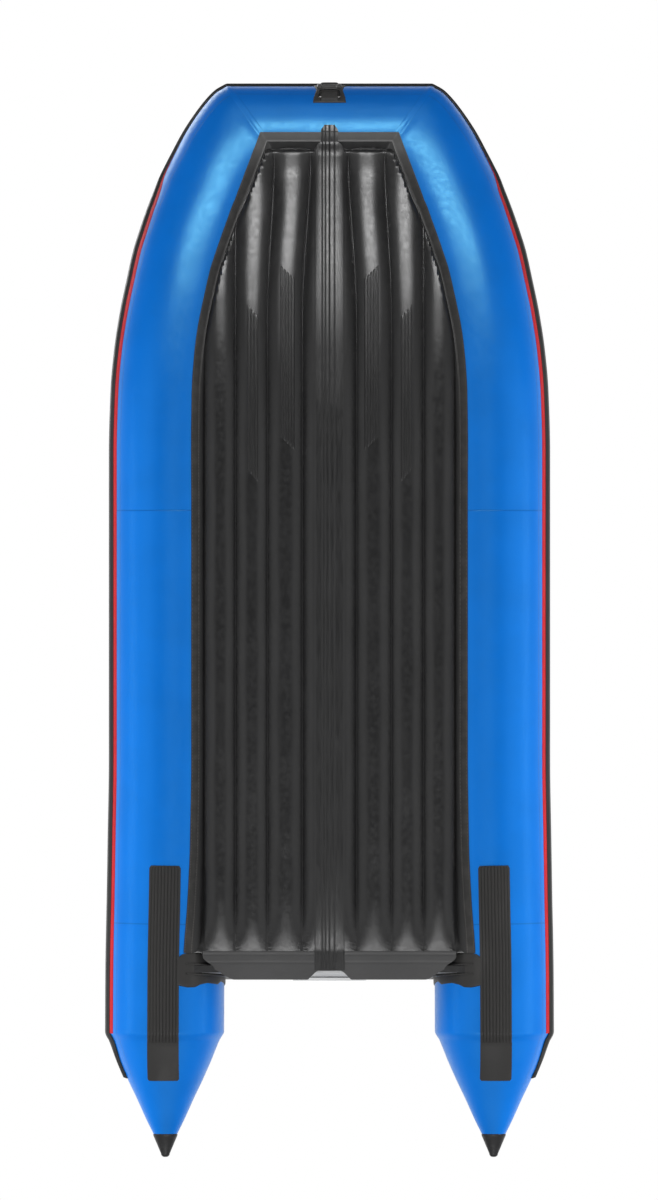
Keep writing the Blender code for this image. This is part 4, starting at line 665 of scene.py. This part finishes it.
def chafe_strip(way, name, node):
    """Ribbed strip under a tail: ten half-round ribs that end before a plain tail with round corners."""
    front, rib_end, back = (float(v) for v in ring_at(along(np.array((0.728, 0.893, 0.928))), 357.0))
    s = joined((front, rib_end, 110), (rib_end, back, 26))[:, None]
    radius = TUBE_RADIUS * between_rings(s[:, 0])[:, 7]
    half = np.degrees(np.arcsin(np.minimum(0.0555 / radius, 0.7)))[:, None]
    q = np.linspace(-1, 1, 101)[None]
    metres = port_point(s[:, 0], 0.0)[:, 1][:, None]
    from_end = np.minimum(metres - metres[0], metres[-1] - metres)
    narrow = 1 - 0.10 * (1 - np.sqrt(np.clip(from_end / 0.006, 0, 1)))
    base = hull_point(way, s, section_marks(s)["chafe"] + q * narrow * half)
    ribs = np.abs(np.sin(np.pi * 5 * (q + 1)))
    fade = 1 - smooth(rib_end - 0.12, rib_end, s)
    cross = np.exp(-((s - rib_end) / 0.04) ** 2) + np.exp(-((s - rib_end + 0.42) / 0.04) ** 2)
    heights = 0.0012 + 0.0026 * ribs ** 0.8 * fade * (np.abs(q) < 0.995) + 0.0006 * cross
    heights = heights * np.sqrt(np.clip((1.0 - np.abs(q)) / 0.02, 0.15, 1.0))
    base, heights = flipped(way < 0, base, heights)
    strip(name, base, 0.0007, heights, STRIP_BLACK, (0.111, 0.8), 50.0, "black_rubber", node)


# Air floor


def floor_places(half, y):
    """Distances of the columns from the middle, and each column's place in its channel, -1 to 1.

    Creases are squeezed towards the bow and kept inside the half width.
    """
    bow = 1 - smooth(0.062, 0.215, (y + LENGTH / 2) / LENGTH)
    creases = CREASES * (1 + (CREASE_BOW - 1) * bow[:, None])
    starts = np.hstack((np.zeros((len(y), 1)), creases))
    ends = np.hstack((creases, half[:, None] + 1e-6))
    counts = (11, 17, 17, 17, 5)
    places, inside, channel = [], [], []
    for n, count in enumerate(counts):
        t = np.linspace(0, 1, count)[1:] if n else np.linspace(0, 1, count)
        if n == 4:
            t = t ** 0.7
        places.append(starts[:, n:n + 1] + (ends[:, n:n + 1] - starts[:, n:n + 1]) * t)
        inside.append(np.broadcast_to(t if n == 0 else 2 * t - 1, places[-1].shape))
        channel.append(np.full(len(t), n))
    places, inside, channel = np.hstack(places), np.hstack(inside), np.concatenate(channel)
    order = np.arange(places.shape[1])[::-1]
    return np.minimum(places, half[:, None] - 0.0002 * order), inside, channel


def floor_height(half, y, edge_z, x, inside, channel, under):
    """Height of the floor's underside or deck.

    Its level is the crease level, bent up to the tape with the square of x / half. Each channel swells from it
    by its depth times 1 - place^p, with p 3.2 in the middle channel and 2.1 below or 2.4 on the deck in the
    others, times the root of 1 - (1 - t)^2 at the front and 1 - (1 - t)^2.6 at the stern. Below, a half sine
    wave lifts it beside the tape, a bell curve lifts it behind the bow, and another pinches the creases there.
    """
    front = y[0]
    way_in = ((y - front) / 0.14)[:, None]
    base = smooth(0.0, 1.0, way_in)
    to_stern = np.clip((FLOOR_END - y) / FLOOR_RAMP, 0.0, None)[:, None]
    settle = smooth(0.0, 0.95, to_stern)
    keel = edge_z.copy()
    if under:
        keel += (rise(y) + CREASE_LEVEL - edge_z) * (base * settle)[:, 0]
    level = keel[:, None] + (edge_z - keel)[:, None] * (x / half[:, None]) ** 2
    width = np.gradient(x, axis=1)
    full = np.array((CREASES[0] / 10, *(np.diff(CREASES) / 16), 1.0))[channel]
    depth = np.array((CENTRE_DEPTH, CHANNEL_DEPTH, CHANNEL_DEPTH, CHANNEL_DEPTH, 0.0))[channel]
    depth = depth * np.clip(width / full, 0.0, 1.0)
    if not under:
        depth = depth * DECK_DEPTH / CHANNEL_DEPTH
    section = 1 - np.abs(inside) ** np.where(channel == 0, 3.2, 2.1 if under else 2.4)
    nose = np.sqrt(np.clip(1 - (1 - np.clip((y - front) / 0.085, 0, 1)) ** 2, 0, 1))[:, None]
    swell = section * nose * (1 - (1 - np.minimum(to_stern, 1.0)) ** 2.6)
    swell = np.where(channel[None] == 4, 0.0, swell)
    phase = channel[None] * 1.7
    waves = 0.0010 * np.sin(y[:, None] * 9 + phase) + 0.0006 * np.sin(y[:, None] * 23 + phase * 2.1)
    drop = (depth + waves * section) * swell
    if not under:
        return level + drop
    beside_tape = np.where(channel[None] == 4, 0.028 * np.sin(np.pi * (inside + 1) / 2) * settle ** 0.3, 0.0)
    behind_bow = 0.026 * np.exp(-((y - front - 0.016) / 0.012) ** 2)[:, None]
    pinch = 0.006 * np.exp(-((y - front - 0.036) / 0.011) ** 2)[:, None] * np.abs(inside) ** 9 * (channel < 4)
    return level - drop - pinch + np.maximum(beside_tape, behind_bow)


def floor_rows():
    """Y of the floor's rows, closer together at both ends."""
    front = float(port_point(0.0, RINGS[0, 5] + TAPE_WIDTH)[1])
    return joined((front, front + 0.13, 50), (front + 0.13, 1.02, 150), (1.02, FLOOR_END, 60))


def tube_line(ring, angle):
    """Points of a line on the port tube, moved inboard by the floor's clearance."""
    return port_point(ring, angle) - np.array((FLOOR_LIFT, 0.0, 0.0))


def both_sides(half_grid):
    """A port half grid whose first column lies in the middle, with its mirror image before it."""
    return np.concatenate((half_grid[:, :0:-1] * (-1.0, 1.0, 1.0), half_grid), axis=1)


def floor_surfaces():
    """Grids of the floor's underside and deck, from starboard to port, and their UVs."""
    y = floor_rows()
    s = np.linspace(0, LAST, 4000)
    ring = np.interp(y, port_point(s, section_marks(s)["floor"])[:, 1], s)
    edge = tube_line(ring, section_marks(ring)["floor"])
    x, inside, channel = floor_places(edge[:, 0], y)
    z = floor_height(edge[:, 0], y, edge[:, 2], x, inside, channel, True)
    under = np.stack((x, np.broadcast_to(y[:, None], x.shape), z), -1)
    deck_y = np.linspace(float(port_point(0.0, DECK_ANGLE)[1]), FLOOR_END, len(y))
    rim = tube_line(ring_at(deck_y, DECK_ANGLE), DECK_ANGLE)
    dx, dinside, _ = floor_places(rim[:, 0], deck_y)
    dz = floor_height(rim[:, 0], deck_y, rim[:, 2], dx, dinside, channel, False)
    deck = np.stack((dx, np.broadcast_to(deck_y[:, None], dx.shape), dz), -1)
    uv_half = np.stack((inside, np.broadcast_to(y[:, None], inside.shape)), -1)
    uv = np.concatenate((uv_half[:, :0:-1] * (-1.0, 1.0), uv_half), axis=1)
    return both_sides(under), both_sides(deck), uv


UNDER, DECK, FLOOR_UV = floor_surfaces()
# Height of the underside's end in the middle channel
STERN_LEVEL = UNDER[-1, 60, 2]


def floor_skin(x, y):
    """Height of the floor's underside at places on it, by straight interpolation in the grid, row by row."""
    rows = UNDER[:, 0, 1]
    x, y = np.broadcast_arrays(np.asarray(x, float), np.asarray(y, float))
    at = np.interp(y, rows, np.arange(len(rows)))
    low = np.clip(np.floor(at).astype(int), 0, len(rows) - 2)
    z = np.empty(x.shape)
    for row in np.unique(low):
        here = low == row
        near = np.interp(x[here], UNDER[row, :, 0], UNDER[row, :, 2])
        far = np.interp(x[here], UNDER[row + 1, :, 0], UNDER[row + 1, :, 2])
        z[here] = near + (far - near) * (at[here] - row)
    return z


def air_floor():
    """Mattress: underside, deck, and walls that join them round the rim, turned to face outward."""
    item = slab("air_floor", DECK, UNDER, FLOOR_BLACK, FLOOR_UV, 30.0)
    item.data.flip_normals()
    part_of(item, "floor_fabric", "floor_mattress")


def keel_strip():
    """Strip down the middle: a thin base with four ridges. It laps onto the bow tube and onto the stern flap.

    Its half width widens from the tab on the bow tube to the base on the floor by a smooth step.
    """
    front = UNDER[0, 0, 1]
    y = joined((along(0.0385), front, 30), (front, FLOOR_END, 260), (FLOOR_END, along(0.825), 16))
    places = joined((-1, 1, 31), *((c - 0.09, c + 0.09, 9) for c in KEEL_RIDGES))
    chamfer = 0.012 * np.clip((y - y[0]) / 0.018, 0.0, 1.0)
    half = (0.018 + chamfer + 0.023 * smooth(front, front + 0.02, y))[:, None]
    x = np.clip(places[None] * KEEL_HALF, -half, half)
    on_tube = port_point(0.0, np.linspace(-60, 20, 600))
    z_tube = np.interp(y, on_tube[::-1, 1][::-1], on_tube[::-1, 2][::-1]) - 0.0022
    z_floor = floor_skin(x, np.clip(y, front + 0.034, FLOOR_END)[:, None])
    share = smooth(front + 0.002, front + 0.034, y)[:, None]
    z = z_tube[:, None] * (1 - share) + z_floor * share
    aft = y > FLOOR_END - 0.004
    z[aft] = np.minimum(z[aft], STERN_LEVEL - 0.0036)
    base = np.stack((x, np.broadcast_to(y[:, None], x.shape), z), -1)[:, ::-1]
    ridges = sum(np.exp(-((places - c) / 0.035) ** 2) for c in KEEL_RIDGES)
    edge = np.sqrt(np.clip((1 - np.abs(places)) / 0.03, 0.1, 1.0))
    lines = sum(np.exp(-((y - c) / 0.0022) ** 2) for c in KEEL_LINES)[:, None]
    heights = (0.0009 * edge + 0.0019 * ridges)[None, ::-1] + 0.0010 * lines
    strip("keel_rib_strip", base, 0.0003, heights, KEEL_BLACK, (0.06, 3.0), 50.0,
          "black_rubber", "keel_strip")


def wear_strip(way, name, node, x_low, x_high, front, back, ribs):
    """Ribbed strip on a channel's crest: a parallelogram whose outer edge leads. Its ribs are bell curves."""
    q = np.linspace(0, 1, 8 * ribs + 1)[None]
    t = np.linspace(0, 1, 150)[:, None]
    x, y = np.broadcast_arrays(x_low + (x_high - x_low) * q, front + (back - front) * t + WEAR_SLANT * q)
    crest = np.exp(-((np.sin(np.pi * ribs * q) ** 2 - 1) / 0.5) ** 2)
    ends = np.sqrt(np.clip(np.minimum(t, 1 - t) / 0.02, 0.05, 1.0))
    heights = (0.0006 + 0.0030 * crest) * ends
    base, heights = flipped(way > 0, np.stack((x * way, y, floor_skin(x, y)), -1), heights)
    strip(name, base, 0.0003, heights, KEEL_BLACK, (0.05, 0.6), 60.0, "black_rubber", node)


def bow_point(x, angle):
    """Point of the straight bow tube at X."""
    points = hull_point(0, 0.0, angle) + np.zeros(np.broadcast(x, angle).shape + (1,))
    points[..., 0] = x
    return points


def bow_fitting():
    """Waisted plate low on the bow, with two cheeks and a bridge over the ring's bar, and a lip over the rail.

    The half width is a line through five angles. The heights are smooth steps of the angle and of x.
    """
    angle = np.linspace(-44.0, -87.0, 110)[:, None]
    half = np.interp(angle, (-87.0, -80.0, -66.0, -52.0, -44.0), (0.0585, 0.053, 0.047, 0.056, 0.0585))
    x = np.linspace(-1, 1, 97)[None] * half
    base = bow_point(x, angle)
    tongue = np.interp(angle, (-65.0, -49.0), (0.0235, 0.0300))
    bridge = (1 - smooth(5.0, 6.6, np.abs(angle + 52.0))) * (1 - smooth(-0.002, 0.002, np.abs(x) - tongue))
    cheek = smooth(0.024, 0.028, np.abs(x)) * (1 - smooth(0.040, 0.045, np.abs(x)))
    cheek = smooth(71.0, 73.0, -angle) * cheek
    rim = 1 - (np.abs(x) / half) ** 16
    ends = np.sqrt(np.clip((np.minimum(angle + 87.0, -44.0 - angle) + 0.1) / 0.7, 0.0, 1.0))
    heights = (0.0008 + 0.0032 * rim) * ends + 0.0090 * bridge + 0.0060 * cheek
    strip("bow_plate", base, 0.0003, heights, FITTING_GREY, (0.12, 0.15), 40.0,
          "black_plastic", "bow_fitting_base")
    angle = np.linspace(-86.5, -104.0, 40)[:, None]
    q = np.linspace(-1, 1, 41)[None]
    base = bow_point(q * 0.034, angle)
    heights = 0.0120 * (1 - q ** 8) ** 0.5 * np.sqrt(1 - ((angle + 95.25) / 8.8) ** 4) + 0.0005
    strip("bow_lip", base, 0.0026, heights, FITTING_GREY, (0.07, 0.06), 40.0, "black_plastic")


def board_middle(z):
    """Y of the middle of the raked transom board at a height."""
    return along(TRANSOM_SHARE) + math.tan(math.radians(TRANSOM_RAKE)) * (z - TRANSOM_FOOT)


def transom_holder(way, name, node):
    """Patch glued to the tube beside the transom, with a wavy edge, and two lips that hold the board's edge.

    The patch's ends are lines through a few angles. The lips rise by a smooth step from the tape's angle.
    """
    angle = np.linspace(10.5, 116.0, 120)[None]
    back = np.interp(angle, (10.5, 14, 22, 30, 36, 45, 62, 70, 80, 92, 105, 116),
                     (1.283, 1.2905, 1.296, 1.295, 1.286, 1.281, 1.287, 1.277, 1.283, 1.292, 1.300, 1.302))
    front = np.interp(angle, (10.5, 15, 20, 60, 116), (1.196, 1.181, 1.1745, 1.1745, 1.190))
    t = np.linspace(0, 1, 50)[:, None]
    y = front + (back - front) * t
    base = hull_point(way, ring_at(y, 40.0), angle)
    q = (angle - 10.5) / 105.5 * 2 - 1
    to_rim = np.maximum(np.abs(q) ** 40, np.abs(2 * t - 1) ** 14)
    heights = 0.0006 + 0.0034 * np.sqrt(np.clip(1 - to_rim, 0.0, 1.0))
    base, heights = flipped(way < 0, base, heights)
    strip(name, base, 0.0004, heights, STRIP_BLACK, (0.4, 0.1), 50.0, "black_rubber", node)
    angle = np.linspace(20.0, 112.0, 90)[None]
    z = port_point(ring_at(board_middle(0.1), 40.0), angle)[..., 2]
    reach = BOARD_HALF + 0.0049
    for label, offset in (("front", -reach), ("back", reach)):
        q = np.linspace(-1, 1, 13)[:, None]
        y = board_middle(z) + offset + q * 0.0038
        base = hull_point(way, ring_at(y, 40.0), angle)
        crest = 0.006 + 0.024 * smooth(20.0, 58.0, angle) * (1 - smooth(104.0, 112.0, angle))
        heights = crest * np.sqrt(np.clip(1.02 - q ** 6, 0.05, 1.0))
        base, heights = flipped(way < 0, base, heights)
        strip(f"{name}_lip_{label}", base, 0.0004, heights, STRIP_BLACK, (0.3, 0.02), 50.0, "black_rubber")


def board_foot_shade(way, name):
    """Black strip along the foot of the transom board, out to the tube: painted shade, a dark piece that
    stands in for the shadow in the holder's slot.
    """
    x = np.linspace(0.30, 0.481, 24)[None]
    y = board_middle(TRANSOM_FOOT) + np.linspace(-BOARD_HALF, BOARD_HALF, 9)[:, None]
    x, y = np.broadcast_arrays(x, y)
    low, = flipped(way > 0, np.stack((x * way, y, np.full(x.shape, TRANSOM_FOOT - 0.0003)), -1))
    item = slab(name, low, low - np.array((0.0, 0.0, 0.0022)), PLASTIC, spaced(9, 24, 0.18, 0.03))
    part_of(item, "black_rubber")


def stern_flap():
    """Flap under the transom: a sheet from the floor's end to its notched edge, with two welded seams across.

    It narrows by a smooth step, its back edge is a line through seven points, and it sags along a sine wave.
    """
    q = np.linspace(-1, 1, 161)[None]
    x_front, x_back, front, notched = 0.447, 0.405, FLOOR_END - 0.006, 1.2685
    t = np.linspace(0, 1, 30)[:, None]
    back = np.interp(np.abs(q) * 0.44, (0.0, 0.045, 0.055, 0.083, 0.368, 0.382, 0.44),
                     (1.2370, 1.2370, 1.2430, notched, notched, 1.264, 1.232))
    y = front + (back - front) * t
    x = q * (x_front + (x_back - x_front) * smooth(0.3, 1.0, t))
    level = STERN_LEVEL - 0.0005
    weld = sum(np.exp(-((y - along(share)) / 0.0022) ** 2) for share in (0.8105, 0.8178))
    sag = 0.0012 * np.sin(x * 21 + 0.5) * t
    z = level + sag + 0.0007 * weld
    low = np.stack((x, y, z), -1)[:, ::-1]
    top = low - np.array((0.0, 0.0, 0.0028))
    item = slab("transom_flap", low, top, FLAP_BLACK_PAINTED_LIGHTER, spaced(30, 161, 0.0, 0.17), 50.0)
    part_of(item, "floor_fabric", "stern_flap")


# Camera, stage and light


def camera():
    """Straight below the boat, looking up, with the bow at the top of the picture."""
    data = bpy.data.cameras.new("camera")
    item = linked("camera", data)
    x = (IMAGE_MIDDLE[0] - MODEL_MIDDLE[0]) * METRES_PER_PIXEL
    y = (IMAGE_MIDDLE[1] - MODEL_MIDDLE[1]) * METRES_PER_PIXEL
    waist = TUBE_BOTTOM + TUBE_RADIUS
    item.location = (x, y, waist - CAMERA_AWAY)
    item.rotation_euler = (math.pi, 0.0, 0.0)
    data.sensor_width = 36.0
    data.lens = data.sensor_width * CAMERA_AWAY / (IMAGE_HEIGHT * METRES_PER_PIXEL)
    data.clip_end = 500.0
    bpy.context.scene.camera = item


def stage_floor():
    """Pale floor that shows only from above, so that the camera and the light from below pass through it.

    It stops light on its way back from the boat's underside, so that the shadow stays dark.
    """
    bpy.ops.mesh.primitive_plane_add(size=24, location=(0, 0, -0.002))
    ground = bpy.context.object
    ground.name = "studio_floor"
    made = bpy.data.materials.new("studio floor")
    made.use_nodes = True
    made.node_tree.nodes.clear()
    node = partial(add_node, made.node_tree)
    path = node("LightPath").outputs
    side = node("NewGeometry").outputs
    shown = node("Math", path["Is Camera Ray"], side["Backfacing"], operation="SUBTRACT")
    shown.use_clamp = True
    deeper = node("Math", path["Diffuse Depth"], 0.5, operation="GREATER_THAN")
    again = node("Math", path["Is Shadow Ray"], deeper.outputs[0], operation="MULTIPLY")
    solid = node("Math", shown.outputs[0], again.outputs[0], operation="MAXIMUM")
    clear = node("BsdfTransparent")
    pale = node("BsdfDiffuse", (0.80, 0.80, 0.80, 1.0))
    mix = node("MixShader", solid.outputs[0], clear.outputs[0], pale.outputs[0])
    node("OutputMaterial", mix.outputs[0])
    ground.data.materials.append(made)


def sky():
    """Studio round the boat: white for the camera, through clear things, and in gloss from straight above.

    Other light has the level that SKY_LEVELS gives for -z of its source's direction, or SKY_DIM ahead of the
    boat, once -y passes from 0.1 to 0.6 and -z from -1.0 to -0.8.
    """
    world = bpy.data.worlds.new("studio")
    bpy.context.scene.world = world
    world.use_nodes = True
    tree = world.node_tree
    node, step = partial(add_node, tree), partial(eased, tree)
    path = node("LightPath").outputs
    _, y, z = node("SeparateXYZ", node("TexCoord").outputs["Generated"]).outputs
    gloss = node("Math", path["Is Glossy Ray"], step(z, 0.80, 0.97), operation="MULTIPLY")
    seen = node("Math", path["Is Camera Ray"], path["Is Transmission Ray"], operation="MAXIMUM")
    seen = node("Math", seen.outputs[0], gloss.outputs[0], operation="MAXIMUM")
    low = node("Math", z, -1.0, operation="MULTIPLY").outputs[0]
    ahead = node("Math", y, -1.0, operation="MULTIPLY").outputs[0]
    room = node("Math", step(ahead, 0.10, 0.60), step(low, -1.0, -0.80), operation="MULTIPLY").outputs[0]
    ramp = node("ValToRGB", node("MapRange", low, -1.0, 1.0, 0.0, 1.0).outputs[0])
    ramp.color_ramp.interpolation = "EASE"
    stops = ramp.color_ramp.elements
    for place, grey in SKY_LEVELS:
        stop = stops[0] if place == -1.0 else stops[-1] if place == 1.0 else stops.new((place + 1) / 2)
        stop.color = (grey, grey, grey, 1.0)
    level = node("MapRange", room, 0.0, 1.0, ramp.outputs[0], SKY_DIM).outputs[0]
    strength = node("MapRange", seen.outputs[0], 0.0, 1.0, level, 1.0).outputs[0]
    shader = tree.nodes["Background"]
    shader.inputs["Color"].default_value = (1.0, 1.0, 1.0, 1.0)
    tree.links.new(strength, shader.inputs["Strength"])


def lamp(name, place, target, size, power, in_gloss=True, in_diffuse=True):
    """Rectangular lamp that faces a target, out of the picture. It lights gloss, matt colour or both."""
    data = bpy.data.lights.new(name, "AREA")
    data.shape = "RECTANGLE"
    data.size, data.size_y = size
    data.energy = power
    item = linked(name, data)
    item.location = place
    item.rotation_euler = (Vector(target) - Vector(place)).to_track_quat("-Z", "Y").to_euler()
    item.visible_camera = False
    item.visible_glossy = in_gloss
    item.visible_diffuse = in_diffuse


def lamps():
    """Softboxes below and ahead of the bow, behind the stern, along both sides and above."""
    lamp("ahead_low", (0.0, -4.3, -3.3), (0.0, -1.3, 0.2), (3.6, 0.9), 130.0, in_diffuse=False)
    lamp("ahead_level", (0.0, -5.4, -0.9), (0.0, -1.8, 0.3), (3.0, 1.0), 58.0, in_gloss=False)
    lamp("below", (0.0, -0.6, -6.0), (0.0, -0.6, 0.2), (3.0, 3.0), 60.0, in_gloss=False)
    lamp("behind_low", (0.0, 3.7, -5.5), (0.0, 1.3, 0.2), (4.0, 1.2), 92.0)
    for name, way in (("port", 1), ("starboard", -1)):
        lamp(f"side_{name}", (way * 4.6, 1.2, -0.7), (0.0, 0.7, 0.2), (5.0, 1.2), 165.0, in_gloss=False)
    lamp("above", (-2.5, -3.0, 6.0), (0.0, 0.0, 0.2), (4.0, 4.0), 110.0)


# The boat

# Finishes of the CAD nodes that show as they are, by the start of their names
NODE_FINISHES = (("thwart", PLYWOOD), ("transom_board", PAINTED), ("motor_pad_outer", ALUMINIUM),
                 ("rowlock_fork", ALUMINIUM), ("bow_tow_ring", DARK_STEEL), ("carry_handle", STRIP_BLACK),
                 ("rowlock_pad", STRIP_BLACK), ("scupper_flap", STRIP_BLACK), ("chamber_baffle", BLUE),
                 ("", PLASTIC))

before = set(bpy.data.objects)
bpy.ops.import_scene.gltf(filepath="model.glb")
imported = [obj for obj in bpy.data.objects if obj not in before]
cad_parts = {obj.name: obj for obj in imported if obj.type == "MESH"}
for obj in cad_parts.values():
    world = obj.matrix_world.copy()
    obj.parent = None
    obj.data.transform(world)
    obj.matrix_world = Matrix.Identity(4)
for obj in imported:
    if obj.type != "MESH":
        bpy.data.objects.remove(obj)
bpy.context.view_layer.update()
bpy.context.scene.view_settings.view_transform = "Standard"
camera()
stage_floor()
sky()
lamps()

side_rings = joined((0.004, 6, 90), (6, 23.4, 130), (23.4, LAST, 90))
side_metres = np.interp(side_rings, np.arange(LAST + 1), REACH)
across = np.linspace(-1, 1, 90) * 0.997
for way, side in ((1, "port"), (-1, "starboard")):
    chamber(way, side_rings, side_metres, f"chamber_{side}", f"side_tube_{side}")
    mitre_tape(way, f"mitre_tape_{side}")
    tail_cap(way, f"nose_cap_{side}", f"tail_cap_{side}")
    chafe_strip(way, f"tail_chafe_{side}", f"chafe_strip_{side}")
    for row, sizes in WEAR_STRIPS.items():
        wear_strip(way, f"crest_strip_{row}_{side}", f"wear_strip_{row}_{side}", *sizes)
    transom_holder(way, f"holder_{side}", f"transom_holder_{side}")
    # Painted shade: a black strip under the transom board's foot.
    board_foot_shade(way, f"board_foot_shade_{side}")
chamber(0, across, across * 0.2 - 1.0, "bow_chamber", "bow_tube")
bow_fitting()
rub_strake()
floor_tape()
side_wall()
air_floor()
keel_strip()
stern_flap()

for node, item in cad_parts.items():
    finish = next(made for start, made in NODE_FINISHES if node.startswith(start))
    for slot in item.material_slots:
        slot.material = finish
